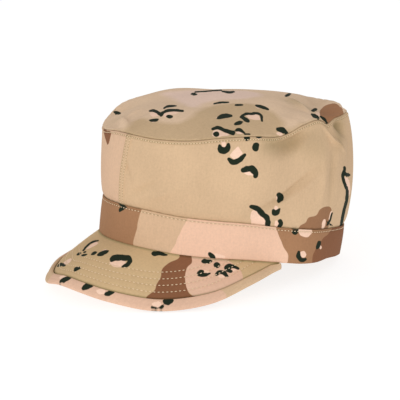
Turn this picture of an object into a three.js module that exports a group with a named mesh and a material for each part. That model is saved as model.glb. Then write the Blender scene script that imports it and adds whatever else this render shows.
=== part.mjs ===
import * as THREE from "three";
import { mergeVertices } from "three/addons/utils/BufferGeometryUtils.js";

// A soft cloth patrol cap, lying on a table on the edge of its bill and the back of its band.
// Millimetres, +Z up. The bill points to -Y and the wearer's left is +X.
// The table is at Z = 0, and the origin is under the middle of the cap's bounding box.

// Band: its outside measured over the hem, and how far the front is lifted by the bill.
const HEAD_LENGTH = 200.6;
const HEAD_WIDTH = 162.4;
const PLAN_SQUARENESS = 2.1;
const FRONT_LIFT = 35;
const BAND_HEIGHT = 27;
const BAND_THICKNESS = 2.4;

// Crown: the seam round the top panel, above the table, and the soft shapes on it.
const SEAM_HEIGHT = 122;
const CROWN_BULGE = 8;
const DOME_RISE = 11;
const FOLD_DEPTH = 5;
const CLOTH_THICKNESS = 1.6;
const TOP_THICKNESS = 1.6;
const TUCK_DEPTH = 6;

// How the crown's curves run: fuller sides below 1, and a flatter middle of the top above 2.
const SIDE_FULLNESS = 0.85;
const DOME_FLATNESS = 2.4;
// Over this share of the rise, the cloth comes out from behind the band.
const TUCK_RUN = 1 / 7;
// Folds fade out over these shares of the way next to a seam.
const SIDE_FOLD_FADE = 1 / 6;
const TOP_FOLD_FADE = 1 / 5;
// The seam's rise and fall reaches into the top panel only near its rim.
const RIM_POWER = 4;

// Centre seam of the crown: a flat-felled strip on the left side panel.
const FELLED_WIDTH = 7;
const FELLED_RISE = 0.5;
const SEAM_TURN = 0;
const SEAM_LEAN = 4.5;

// Bill: its reach in front of the band, its full width and its covers.
const BILL_LENGTH = 59.5;
const BILL_WIDTH = 188;
const BILL_THICKNESS = 4;
const BILL_COVER = 1.5;
const BILL_CAMBER = 2;
const BILL_ATTACH_TURN = 78;
const LIP_WIDTH = 6.5;
// Where the bill narrows to its corners, the lip takes at most this share of its reach.
const LIP_SHARE = 0.75;

// Pieces that are sewn together keep this much air between them.
const SEWN_GAP = 0.3;

const MATERIALS = {
  crown: { color: 0xdbba98, roughness: 0.95 },
  top: { color: 0xcdae8c, roughness: 0.95 },
  band: { color: 0xdbb795, roughness: 0.95 },
  bill: { color: 0xc4a57d, roughness: 0.95 },
  lip: { color: 0xdbb395, roughness: 0.95 },
};

// Turn is in degrees from the front towards the wearer's left.
// hemOut, bandOut, bulge and seamOut are shares of CROWN_BULGE, outward from the hem's plan.
// hemUp is a share of FRONT_LIFT, bandUp of BAND_HEIGHT above the hem, seamUp of SEAM_HEIGHT.
const RING = {
  columns: ["turn", "hemOut", "hemUp", "bandOut", "bandUp", "bulge", "seamOut", "seamUp"],
  rows: [
    [-165, 0.0, 0.0, 0.43, 0.96, 0.7, 0.25, 0.99],
    [-150, 0.0, 0.06, 0.39, 0.96, 0.65, 0.2, 0.995],
    [-120, 0.0, 0.25, 0.22, 0.97, 0.6, 0.3, 1.01],
    [-90, 0.05, 0.5, 0.05, 0.98, 0.5, 0.4, 1.015],
    [-60, 0.15, 0.74, -0.07, 1.0, 0.25, 0.05, 1.01],
    [-30, 0.25, 0.925, -0.14, 1.02, 0.15, -0.2, 0.96],
    [-8, 0.25, 0.98, -0.2, 1.03, 0.2, -0.15, 0.966],
    [6, 0.2, 0.98, -0.25, 1.03, 0.2, -0.1, 0.958],
    [15, 0.15, 0.965, -0.28, 1.03, 0.3, -0.05, 0.95],
    [30, 0.05, 0.89, -0.33, 1.02, 0.45, 0.1, 0.95],
    [45, 0.0, 0.82, -0.32, 1.01, 0.5, 0.35, 0.968],
    [60, 0.05, 0.74, -0.2, 1.0, 0.5, 0.35, 0.968],
    [75, 0.1, 0.62, -0.05, 0.99, 0.45, 0.0, 0.948],
    [84, 0.15, 0.55, 0.05, 0.98, 0.4, -0.1, 0.96],
    [93, 0.2, 0.475, 0.15, 0.98, 0.5, 0.0, 0.995],
    [104, 0.15, 0.41, 0.2, 0.95, 0.7, 0.1, 1.01],
    [122, -0.45, 0.32, -0.1, 0.9, 0.85, 0.1, 1.0],
    [140, -0.5, 0.175, -0.05, 0.92, 0.8, 0.1, 1.0],
    [155, -0.2, 0.05, 0.15, 0.95, 0.75, 0.25, 0.995],
    [165, 0.0, 0.0, 0.33, 0.96, 0.75, 0.3, 0.99],
    [180, 0.0, 0.0, 0.45, 0.96, 0.7, 0.25, 0.985],
  ],
};

// Half of the bill's outer edge from the middle to where it meets the band.
// across is a share of half BILL_WIDTH, forward of BILL_LENGTH from the band's front, and up of
// FRONT_LIFT.
const BILL_EDGE = {
  columns: ["across", "forward", "up"],
  rows: [
    [0.0, 0.95, 0.5],
    [0.22, 0.895, 0.41],
    [0.42, 0.74, 0.265],
    [0.71, 0.335, 0.085],
    [0.935, -0.2, 0.17],
    [0.995, -0.75, 0.41],
  ],
};

// Soft folds of the crown's side. turn and rise place the middle, with rise from 0 at the band
// to 1 at the top seam; long and wide are shares of SEAM_HEIGHT, depth of FOLD_DEPTH, out positive.
// slant is the fold's angle from level, in degrees.
const SIDE_FOLDS = {
  columns: ["turn", "rise", "slant", "long", "wide", "depth"],
  rows: [
    [85, 0.9, 10, 0.1, 0.07, -0.7],
    [93, 0.84, 35, 0.1, 0.05, 0.4],
    [84, 0.4, 42, 0.24, 0.05, -0.35],
    [91, 0.3, 38, 0.22, 0.045, 0.3],
    [112, 0.45, 84, 0.22, 0.05, -0.4],
    [124, 0.4, 86, 0.22, 0.06, 0.35],
    [116, 0.82, 62, 0.14, 0.04, 0.45],
    [127, 0.78, 70, 0.17, 0.06, -0.6],
    [18, 0.35, 35, 0.2, 0.06, -0.2],
    [-70, 0.5, 70, 0.25, 0.1, -0.35],
    [-115, 0.55, 80, 0.25, 0.1, -0.35],
    [-150, 0.5, 85, 0.3, 0.1, 0.3],
    [168, 0.6, 80, 0.25, 0.08, -0.4],
  ],
};

// Soft folds of the top panel, placed on its plan: x is a share of half HEAD_WIDTH and y of half
// HEAD_LENGTH. slant is measured from +X towards +Y, and the other columns are as above.
const TOP_FOLDS = {
  columns: ["x", "y", "slant", "long", "wide", "depth"],
  rows: [
    [-0.1, -0.88, -34, 0.24, 0.06, 0.55],
    [-0.2, -0.72, -34, 0.2, 0.06, -0.35],
    [-0.5, -0.56, 95, 0.14, 0.05, 0.4],
    [0.45, 0.62, -42, 0.3, 0.07, -1.0],
    [0.62, 0.8, -42, 0.24, 0.09, 0.9],
    [0.72, 0.1, -60, 0.2, 0.08, -0.35],
    [-0.4, 0.3, 20, 0.45, 0.16, -0.35],
    [0.2, -0.35, 10, 0.4, 0.15, -0.25],
  ],
};

const TAU = 2 * Math.PI;
const FULL_TURN = 360;
const QUARTER_TURN = FULL_TURN / 4;

// Mesh density: stations round the cap and along the bill, and steps up or across each piece.
const RING_STATIONS = 72;
const SIDE_STATIONS = 34;
const SIDE_STEPS = 10;
const FIRST_SIDE_STEP = 0.04;
const BAND_STEPS = 3;
const BILL_STATIONS = 40;
const BILL_STEPS = 6;
const TOP_SHARES = [1, 0.97, 0.9, 0.8, 0.68, 0.54, 0.4, 0.25, 0.12];
const LIP_ARC = [-60, -30, 0, 30, 60];

function tableRows(table) {
  return table.rows.map((row) => Object.fromEntries(table.columns.map((name, i) => [name, row[i]])));
}

const ringRows = tableRows(RING);
const sideFolds = tableRows(SIDE_FOLDS);
const topFolds = tableRows(TOP_FOLDS);

function lerp(from, to, share) {
  return from + (to - from) * share;
}

function slopeAt(rows, i, column) {
  const count = rows.length;
  const before = rows[(i + count - 1) % count];
  const after = rows[(i + 1) % count];
  const span = (after.turn - before.turn + FULL_TURN) % FULL_TURN;
  return (after[column] - before[column]) / span;
}

// A smooth closed curve through one column of the ring's rows.
function ringValue(column, turn) {
  const count = ringRows.length;
  const first = ringRows[0].turn;
  const wrapped = first + ((((turn - first) % FULL_TURN) + FULL_TURN) % FULL_TURN);
  let i = count - 1;
  while (ringRows[i].turn > wrapped) i -= 1;
  const from = ringRows[i];
  const to = ringRows[(i + 1) % count];
  const span = (to.turn - from.turn + FULL_TURN) % FULL_TURN;
  const t = (wrapped - from.turn) / span;
  const a = from[column];
  const b = to[column];
  const slopeA = slopeAt(ringRows, i, column) * span;
  const slopeB = slopeAt(ringRows, (i + 1) % count, column) * span;
  const t2 = t * t;
  const t3 = t2 * t;
  return a * (2 * t3 - 3 * t2 + 1) + slopeA * (t3 - 2 * t2 + t) + b * (3 * t2 - 2 * t3) + slopeB * (t3 - t2);
}

// The hem's plan is a slightly squared oval. Gives its point and its outward direction.
function planAt(turn) {
  const angle = THREE.MathUtils.degToRad(turn);
  const sin = Math.sin(angle);
  const cos = Math.cos(angle);
  const halfWidth = HEAD_WIDTH / 2;
  const halfLength = HEAD_LENGTH / 2;
  const power = PLAN_SQUARENESS;
  const sum = Math.pow(Math.abs(sin) / halfWidth, power) + Math.pow(Math.abs(cos) / halfLength, power);
  const radius = Math.pow(sum, -1 / power);
  const point = new THREE.Vector2(radius * sin, -radius * cos);
  const outward = new THREE.Vector2(
    (Math.sign(sin) * Math.pow(Math.abs(point.x) / halfWidth, power - 1)) / halfWidth,
    (-Math.sign(cos) * Math.pow(Math.abs(point.y) / halfLength, power - 1)) / halfLength,
  ).normalize();
  return { point, outward };
}

// Places a section's point, given as x = outward from the plan and y = height.
function placeOnPlan(turn, local) {
  const { point, outward } = planAt(turn);
  return new THREE.Vector3(point.x + outward.x * local.x, point.y + outward.y * local.x, local.y);
}

// Heights and outward offsets of the lines that run round the cap.
function linesAt(turn) {
  const out = (column) => CROWN_BULGE * ringValue(column, turn);
  const hemUp = Math.max(0, FRONT_LIFT * ringValue("hemUp", turn));
  const bandUp = hemUp + BAND_HEIGHT * ringValue("bandUp", turn);
  return {
    hem: new THREE.Vector2(out("hemOut"), hemUp),
    bandTop: new THREE.Vector2(out("bandOut"), bandUp),
    seam: new THREE.Vector2(out("seamOut"), SEAM_HEIGHT * ringValue("seamUp", turn)),
    bulge: out("bulge"),
  };
}

// One soft fold: a long rounded ridge or valley, given how far along and across it a point lies.
function foldHeight(fold, right, up) {
  const slant = THREE.MathUtils.degToRad(fold.slant);
  const along = right * Math.cos(slant) + up * Math.sin(slant);
  const across = up * Math.cos(slant) - right * Math.sin(slant);
  const u = along / (fold.long * SEAM_HEIGHT);
  const v = across / (fold.wide * SEAM_HEIGHT);
  return fold.depth * FOLD_DEPTH * Math.exp(-2 * (u * u + v * v));
}

function turnDifference(a, b) {
  return ((a - b + 1.5 * FULL_TURN) % FULL_TURN) - FULL_TURN / 2;
}

// 0 at a seam and 1 beyond the share of the way over which the folds fade.
function fadeFrom(way, fade) {
  return Math.min(1, Math.max(0, way) / fade);
}

function sideFoldAt(turn, rise) {
  const degree = (TAU / FULL_TURN) * ((HEAD_LENGTH + HEAD_WIDTH) / 4);
  const lines = linesAt(turn);
  const tall = lines.seam.y - lines.bandTop.y;
  let sum = 0;
  for (const fold of sideFolds) {
    const right = turnDifference(turn, fold.turn) * degree;
    sum += foldHeight(fold, right, (rise - fold.rise) * tall);
  }
  return sum * fadeFrom(rise, SIDE_FOLD_FADE) * fadeFrom(1 - rise, SIDE_FOLD_FADE);
}

function topFoldAt(point, share) {
  let sum = 0;
  for (const fold of topFolds) {
    const right = point.x - (fold.x * HEAD_WIDTH) / 2;
    const forward = point.y - (fold.y * HEAD_LENGTH) / 2;
    sum += foldHeight(fold, right, forward);
  }
  return sum * fadeFrom(1 - share, TOP_FOLD_FADE);
}

// Outside of the crown's side: rise is 0 at the band's top edge and 1 at the top seam.
// Below the band's top edge the cloth runs down behind the band.
function crownSideAt(turn, rise) {
  const { hem, bandTop, seam, bulge } = linesAt(turn);
  const behindBand = BAND_THICKNESS + SEWN_GAP;
  if (rise <= 0) {
    const height = bandTop.y + rise * TUCK_DEPTH;
    const share = (height - hem.y) / (bandTop.y - hem.y);
    return new THREE.Vector2(lerp(hem.x, bandTop.x, share) - behindBand, height);
  }
  const swell = Math.pow(4 * rise * (1 - rise), SIDE_FULLNESS);
  const tucked = behindBand * Math.pow(Math.max(0, 1 - rise / TUCK_RUN), 2);
  const out = lerp(bandTop.x, seam.x, rise) + bulge * swell - tucked + sideFoldAt(turn, rise);
  return new THREE.Vector2(out, lerp(bandTop.y, seam.y, rise));
}

// The centre seam leans to the wearer's left as it climbs, and draws the cloth beside it along.
function leanedTurn(turn, height) {
  const { bandTop, seam } = linesAt(turn);
  const reach = Math.max(0, 1 - Math.abs(turn) / QUARTER_TURN);
  const climb = THREE.MathUtils.clamp((height - bandTop.y) / (seam.y - bandTop.y), 0, 1);
  return turn + SEAM_LEAN * reach * climb;
}

function placeOnCrown(turn, local) {
  return placeOnPlan(leanedTurn(turn, local.y), local);
}

function meshFrom(name, positions, faces, material) {
  const geometry = new THREE.BufferGeometry();
  const coordinates = positions.flatMap((point) => point.toArray());
  geometry.setAttribute("position", new THREE.Float32BufferAttribute(coordinates, 3));
  geometry.setIndex(faces.flat());
  const welded = mergeVertices(geometry, 1e-4);
  welded.computeVertexNormals();
  const mesh = new THREE.Mesh(welded, new THREE.MeshStandardMaterial({ ...material, metalness: 0 }));
  mesh.name = name;
  return mesh;
}

// Skins a row of closed outlines into one solid. Each station gives an outline in its own plane,
// anticlockwise as seen from the next station; an open row gets a cap at each end.
function sweptSolid(name, stations, outlineAt, placeAt, isRing, material) {
  const outlines = stations.map(outlineAt);
  const positions = outlines.flatMap((outline, i) => outline.map((local) => placeAt(stations[i], local)));
  const sides = outlines[0].length;
  const faces = [];
  const last = isRing ? stations.length : stations.length - 1;
  for (let i = 0; i < last; i += 1) {
    const here = i * sides;
    const there = ((i + 1) % stations.length) * sides;
    for (let k = 0; k < sides; k += 1) {
      const next = (k + 1) % sides;
      faces.push([here + k, there + k, there + next]);
      faces.push([here + k, there + next, here + next]);
    }
  }
  if (!isRing) {
    const end = (stations.length - 1) * sides;
    for (const [a, b, c] of THREE.ShapeUtils.triangulateShape(outlines[0], [])) faces.push([a, b, c]);
    for (const [a, b, c] of THREE.ShapeUtils.triangulateShape(outlines.at(-1), [])) {
      faces.push([end + a, end + c, end + b]);
    }
  }
  return meshFrom(name, positions, faces, material);
}

function evenSteps(from, to, count) {
  return Array.from({ length: count + 1 }, (_, i) => lerp(from, to, i / count));
}

function bandOutline(turn) {
  const { hem, bandTop } = linesAt(turn);
  const outside = evenSteps(0, 1, BAND_STEPS).map((share) => hem.clone().lerp(bandTop, share));
  const inside = outside.map((p) => new THREE.Vector2(p.x - BAND_THICKNESS, p.y)).reverse();
  return [...outside, ...inside];
}

function buildBand() {
  const stations = evenSteps(-180, 180, RING_STATIONS).slice(0, -1);
  return sweptSolid("band", stations, bandOutline, placeOnPlan, true, MATERIALS.band);
}

// Flat-felled strip: full rise across its width, then down to the plain cloth.
function felledRise(turn) {
  const degree = (TAU / FULL_TURN) * (HEAD_LENGTH / 2);
  const away = (turn - SEAM_TURN) * degree;
  return away > 0 && away < FELLED_WIDTH ? FELLED_RISE : 0;
}

function crownSideOutline(turn) {
  const rises = [-1, 0, ...evenSteps(FIRST_SIDE_STEP, 1, SIDE_STEPS)];
  const outside = rises.map((rise) => {
    const p = crownSideAt(turn, rise);
    p.x += rise > 0 ? felledRise(turn) : 0;
    if (rise === 1) p.y -= TOP_THICKNESS + SEWN_GAP;
    return p;
  });
  const inside = rises.map((rise, i) => {
    const p = crownSideAt(turn, rise);
    return new THREE.Vector2(p.x - CLOTH_THICKNESS, outside[i].y);
  });
  return [...outside, ...inside.reverse()];
}

function buildCrownSides() {
  const degree = (TAU / FULL_TURN) * (HEAD_LENGTH / 2);
  const halfGap = SEWN_GAP / 2 / degree;
  const felled = FELLED_WIDTH / degree;
  const front = SEAM_TURN + halfGap;
  const back = 180 - halfGap;
  const stripEnd = SEAM_TURN + felled;
  const plainTurns = evenSteps(stripEnd + halfGap, back, SIDE_STATIONS);
  const leftTurns = [front, front + felled / 2, stripEnd - halfGap, ...plainTurns];
  const rightTurns = evenSteps(-back, SEAM_TURN - halfGap, SIDE_STATIONS);
  return [
    sweptSolid("crown_side_left", leftTurns, crownSideOutline, placeOnCrown, false, MATERIALS.crown),
    sweptSolid("crown_side_right", rightTurns, crownSideOutline, placeOnCrown, false, MATERIALS.crown),
  ];
}

// Outside of the top panel: share is 0 in its middle and 1 at the seam.
function topPointAt(turn, share) {
  const rim = placeOnCrown(turn, linesAt(turn).seam);
  const dome = DOME_RISE * (1 - Math.pow(share, DOME_FLATNESS));
  const point = new THREE.Vector3(rim.x * share, rim.y * share, SEAM_HEIGHT + dome);
  point.z += (rim.z - SEAM_HEIGHT) * Math.pow(share, RIM_POWER);
  point.z += topFoldAt(point, share);
  return point;
}

function buildCrownTop() {
  const turns = evenSteps(-180, 180, RING_STATIONS).slice(0, -1);
  const shares = TOP_SHARES;
  const positions = [];
  const faces = [];
  const ringStart = (side, ring) => (side * shares.length + ring) * turns.length;
  for (const drop of [0, TOP_THICKNESS]) {
    for (const share of shares) {
      for (const turn of turns) {
        const point = topPointAt(turn, share);
        point.z -= drop;
        positions.push(point);
      }
    }
  }
  const centres = [0, TOP_THICKNESS].map((drop) => {
    const point = topPointAt(0, 0);
    point.z -= drop;
    return positions.push(point) - 1;
  });
  turns.forEach((_, i) => {
    const next = (i + 1) % turns.length;
    for (let ring = 0; ring < shares.length - 1; ring += 1) {
      const outer = ringStart(0, ring);
      const inner = ringStart(0, ring + 1);
      faces.push([outer + i, outer + next, inner + next], [outer + i, inner + next, inner + i]);
      const outerUnder = ringStart(1, ring);
      const innerUnder = ringStart(1, ring + 1);
      faces.push([outerUnder + i, innerUnder + next, outerUnder + next]);
      faces.push([outerUnder + i, innerUnder + i, innerUnder + next]);
    }
    const lastRing = ringStart(0, shares.length - 1);
    const lastUnder = ringStart(1, shares.length - 1);
    faces.push([lastRing + i, lastRing + next, centres[0]], [lastUnder + next, lastUnder + i, centres[1]]);
    const rimTop = ringStart(0, 0);
    const rimUnder = ringStart(1, 0);
    faces.push([rimUnder + i, rimUnder + next, rimTop + next], [rimUnder + i, rimTop + next, rimTop + i]);
  });
  return meshFrom("crown_top", positions, faces, MATERIALS.top);
}

// Outer edge of the bill's top surface, a smooth curve from corner to corner.
function billEdgeCurve() {
  const front = -HEAD_LENGTH / 2;
  const half = tableRows(BILL_EDGE).map(
    ({ across, forward, up }) =>
      new THREE.Vector3((across * BILL_WIDTH) / 2, front - forward * BILL_LENGTH, up * FRONT_LIFT),
  );
  const { hem } = linesAt(BILL_ATTACH_TURN);
  const cornerOut = hem.x + SEWN_GAP + BILL_THICKNESS / 2;
  const corner = placeOnPlan(BILL_ATTACH_TURN, new THREE.Vector2(cornerOut, hem.y - SEWN_GAP));
  const left = [...half.slice(1), corner];
  const right = left.map((p) => new THREE.Vector3(-p.x, p.y, p.z)).reverse();
  return new THREE.CatmullRomCurve3([...right, half[0], ...left], false, "centripetal");
}

const billEdge = billEdgeCurve();

// A rib of the bill runs from the band's hem straight out to the edge. Station is -1 to 1.
function ribAt(station) {
  const { hem } = linesAt(station * BILL_ATTACH_TURN);
  const start = placeOnPlan(station * BILL_ATTACH_TURN, new THREE.Vector2(hem.x, hem.y - SEWN_GAP));
  const end = billEdge.getPointAt((station + 1) / 2);
  const run = new THREE.Vector2(end.x - start.x, end.y - start.y);
  return { start, end, reach: run.length(), direction: run.normalize() };
}

// Places a section's point: x is the distance out from the hem, y the height over the top cover.
function placeOnBill(station, local) {
  const { start, end, reach, direction } = ribAt(station);
  const share = THREE.MathUtils.clamp(local.x / reach, 0, 1);
  const camber = BILL_CAMBER * 4 * share * (1 - share) * Math.min(1, reach / BILL_LENGTH);
  const height = Math.max(0, lerp(start.z, end.z, share) + camber + local.y);
  return new THREE.Vector3(start.x + direction.x * local.x, start.y + direction.y * local.x, height);
}

function lipWidthAt(station) {
  return Math.min(LIP_WIDTH, ribAt(station).reach * LIP_SHARE);
}

function billTopOutline(station) {
  const seam = ribAt(station).reach - lipWidthAt(station);
  const outs = [-BAND_THICKNESS, ...evenSteps(0, seam, BILL_STEPS)];
  const over = outs.map((x) => new THREE.Vector2(x, 0)).reverse();
  const under = outs.map((x) => new THREE.Vector2(x, -BILL_COVER));
  return [...under, ...over];
}

function billUnderOutline(station) {
  const { reach } = ribAt(station);
  const lip = lipWidthAt(station);
  const seam = reach - lip;
  const round = Math.min(BILL_THICKNESS / 2, lip / 3);
  const floor = -BILL_THICKNESS;
  const outs = [-BAND_THICKNESS, ...evenSteps(0, reach - round, BILL_STEPS)];
  const under = outs.map((x) => new THREE.Vector2(x, floor));
  const edge = LIP_ARC.map((degrees) => {
    const angle = THREE.MathUtils.degToRad(degrees);
    const out = reach - round + round * Math.cos(angle);
    return new THREE.Vector2(out, (floor / 2) * (1 - Math.sin(angle)));
  });
  const lipTop = evenSteps(reach - round, seam + SEWN_GAP, 3).map((x) => new THREE.Vector2(x, 0));
  const step = -(BILL_COVER + SEWN_GAP);
  const recess = evenSteps(seam + SEWN_GAP, 0, 5).map((x) => new THREE.Vector2(x, step));
  return [...under, ...edge, ...lipTop, ...recess, new THREE.Vector2(-BAND_THICKNESS, step)];
}

function buildBill() {
  const stations = evenSteps(-1, 1, BILL_STATIONS);
  return [
    sweptSolid("bill_top", stations, billTopOutline, placeOnBill, false, MATERIALS.bill),
    sweptSolid("bill_under", stations, billUnderOutline, placeOnBill, false, MATERIALS.lip),
  ];
}

const cap = new THREE.Group();
cap.add(buildBand(), ...buildCrownSides(), buildCrownTop(), ...buildBill());

// Moves the cap so that the origin is under the middle of its box.
const middle = new THREE.Box3().setFromObject(cap).getCenter(new THREE.Vector3());
cap.position.set(-middle.x, -middle.y, 0);
cap.updateMatrixWorld(true);

export default cap;
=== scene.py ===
import math
import bmesh
import bpy
import numpy as np
from mathutils import Matrix, Vector
from mathutils.bvhtree import BVHTree
from mathutils.interpolate import poly_3d_calc


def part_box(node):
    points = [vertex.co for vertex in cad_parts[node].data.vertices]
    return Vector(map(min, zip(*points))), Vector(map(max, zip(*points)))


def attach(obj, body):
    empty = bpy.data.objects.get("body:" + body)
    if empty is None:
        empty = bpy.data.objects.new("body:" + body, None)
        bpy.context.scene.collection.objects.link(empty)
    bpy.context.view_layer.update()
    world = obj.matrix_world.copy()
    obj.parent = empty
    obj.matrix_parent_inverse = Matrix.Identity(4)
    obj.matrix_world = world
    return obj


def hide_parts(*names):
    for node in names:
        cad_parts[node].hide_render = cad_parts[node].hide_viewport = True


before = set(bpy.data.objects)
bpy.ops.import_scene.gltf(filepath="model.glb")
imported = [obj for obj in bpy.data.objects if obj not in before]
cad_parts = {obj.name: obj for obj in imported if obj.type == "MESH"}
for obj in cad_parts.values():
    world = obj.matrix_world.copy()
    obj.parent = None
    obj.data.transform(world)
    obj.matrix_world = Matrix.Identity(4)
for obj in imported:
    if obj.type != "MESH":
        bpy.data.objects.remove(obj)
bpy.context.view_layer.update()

mm = 0.001
print("frame loaded")

# The cap in millimetres, as in the solids: the band, the crown and how they lie on the table. Only the
# front seam differs: it leans a little more and its felled strip is narrower, as the photograph shows.
capSizes = {
    "headLength": 200.6,
    "headWidth": 162.4,
    "planSquareness": 2.1,
    "frontLift": 35.0,
    "bandHeight": 27.0,
    "bandThickness": 2.4,
    "seamHeight": 122.0,
    "crownBulge": 8.0,
    "domeRise": 11.0,
    "foldDepth": 5.0,
    "cloth": 1.2,
    "tuckDepth": 6.0,
    "seamTurn": -2.45,
    "seamLean": 6.8,
    "felledWidth": 5.2,
    "sewnGap": 0.3,
}

# Turn is in degrees from the front towards the wearer's left. The outs are shares of crownBulge,
# hemUp of frontLift, bandUp of bandHeight above the hem, seamUp of seamHeight.
ringTable = {
    "columns": ("turn", "hemOut", "hemUp", "bandOut", "bandUp", "bulge", "seamOut", "seamUp"),
    "rows": [
        (-165, 0.0, 0.0, 0.43, 0.96, 0.7, 0.25, 0.99),
        (-150, 0.0, 0.06, 0.39, 0.96, 0.65, 0.2, 0.995),
        (-120, 0.0, 0.25, 0.22, 0.97, 0.6, 0.3, 1.01),
        (-90, 0.05, 0.5, 0.05, 0.98, 0.5, 0.4, 1.015),
        (-60, 0.15, 0.74, -0.07, 1.0, 0.25, 0.05, 1.01),
        (-30, 0.25, 0.925, -0.14, 1.02, 0.15, -0.2, 0.96),
        (-8, 0.25, 0.98, -0.2, 1.03, 0.2, -0.15, 0.966),
        (6, 0.2, 0.98, -0.25, 1.03, 0.2, -0.1, 0.958),
        (15, 0.15, 0.965, -0.28, 1.03, 0.3, -0.05, 0.95),
        (30, 0.05, 0.89, -0.33, 1.02, 0.45, 0.1, 0.95),
        (45, 0.0, 0.82, -0.32, 1.01, 0.5, 0.35, 0.968),
        (60, 0.05, 0.74, -0.2, 1.0, 0.5, 0.35, 0.968),
        (75, 0.1, 0.62, -0.05, 0.99, 0.45, 0.0, 0.948),
        (84, 0.15, 0.55, 0.05, 0.98, 0.4, -0.1, 0.96),
        (93, 0.2, 0.475, 0.15, 0.98, 0.5, 0.0, 0.995),
        (104, 0.15, 0.41, 0.2, 0.95, 0.7, 0.1, 1.01),
        (122, -0.45, 0.32, -0.1, 0.9, 0.85, 0.1, 1.0),
        (140, -0.5, 0.175, -0.05, 0.92, 0.8, 0.1, 1.0),
        (155, -0.2, 0.05, 0.15, 0.95, 0.75, 0.25, 0.995),
        (165, 0.0, 0.0, 0.33, 0.96, 0.75, 0.3, 0.99),
        (180, 0.0, 0.0, 0.45, 0.96, 0.7, 0.25, 0.985),
    ],
}


def tableColumns(table):
    cells = np.array(table["rows"], float)
    return {name: cells[:, i] for i, name in enumerate(table["columns"])}


ring = tableColumns(ringTable)
ringSlopes = {}
for columnName, column in ring.items():
    span = np.mod(np.roll(ring["turn"], -1) - np.roll(ring["turn"], 1), 360)
    ringSlopes[columnName] = (np.roll(column, -1) - np.roll(column, 1)) / span


def mix(low, high, share):
    return low + (high - low) * share


def ringValue(name, turn):  # smooth closed curve through one column
    turns = ring["turn"]
    wrapped = turns[0] + np.mod(np.asarray(turn, float) - turns[0], 360)
    here = np.searchsorted(turns, wrapped, side="right") - 1
    there = (here + 1) % len(turns)
    span = np.mod(turns[there] - turns[here], 360)
    t = (wrapped - turns[here]) / span
    start, end = ring[name][here], ring[name][there]
    leave, arrive = ringSlopes[name][here] * span, ringSlopes[name][there] * span
    ease = 3 * t**2 - 2 * t**3
    return mix(start, end, ease) + leave * (t**3 - 2 * t**2 + t) + arrive * (t**3 - t**2)


def planAt(turn):  # point and outward direction on the hem's oval
    angle = np.radians(turn)
    sin, cos = np.sin(angle), np.cos(angle)
    halfWidth, halfLength = capSizes["headWidth"] / 2, capSizes["headLength"] / 2
    power = capSizes["planSquareness"]
    radius = ((np.abs(sin) / halfWidth) ** power + (np.abs(cos) / halfLength) ** power) ** (-1 / power)
    x, y = radius * sin, -radius * cos
    outX = np.sign(x) * (np.abs(x) / halfWidth) ** (power - 1) / halfWidth
    outY = np.sign(y) * (np.abs(y) / halfLength) ** (power - 1) / halfLength
    size = np.hypot(outX, outY)
    return x, y, outX / size, outY / size


def placeOnPlan(turn, out, height):
    x, y, outX, outY = planAt(turn)
    return np.stack([x + outX * out, y + outY * out, height], axis=-1)


# Where the worn top seam leaves its even line, in millimetres. The arc runs from the front round to the
# wearer's left.
seamSlips = {
    "columns": ("arc", "wide", "rise", "out"),
    "rows": [
        (177, 7, -3.8, -0.6),
        (-38, 20, -2.2, 0.0),
        (160, 7, 0.8, 0.4),
        (242, 14, -5.8, -2.4),
        (-76, 24, -3.0, -1.0),
    ],
}


def seamSlipAt(turn):
    arc = arcAt(turn)
    rise, out = 0.0, 0.0
    for middle, wide, up, away in seamSlips["rows"]:
        near = np.exp(-(((arc - middle) / wide) ** 2))
        rise, out = rise + up * near, out + away * near
    return rise, out


def linesAt(turn):
    bulge = capSizes["crownBulge"]
    slipUp, slipOut = seamSlipAt(turn)
    hemUp = np.maximum(0, capSizes["frontLift"] * ringValue("hemUp", turn))
    return {
        "hemOut": bulge * ringValue("hemOut", turn),
        "hemUp": hemUp,
        "bandOut": bulge * ringValue("bandOut", turn),
        "bandUp": hemUp + capSizes["bandHeight"] * ringValue("bandUp", turn),
        "seamOut": bulge * ringValue("seamOut", turn) + slipOut,
        "seamUp": capSizes["seamHeight"] * ringValue("seamUp", turn) + slipUp,
        "bulge": bulge * ringValue("bulge", turn),
    }


def smoothStep(low, high, value):
    share = np.clip((value - low) / (high - low), 0, 1)
    return share * share * (3 - 2 * share)


def groove(distance, width):  # 1 on the line, fading over width on both sides
    return np.exp(-((distance / width) ** 2))


def wobble(x, y, size, seed):  # smooth seeded unevenness, about -1 to 1
    total = np.zeros_like(x)
    for step, (turnX, turnY) in enumerate(((1.0, 0.35), (-0.6, 0.9), (0.25, -1.1), (1.3, 0.8))):
        phase = seed * 1.7 + step * 2.3
        total += np.sin((x * turnX + y * turnY) / size + phase + 0.7 * np.sin(y / size * 0.9 + phase * 1.3))
    return total / 3


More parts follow.
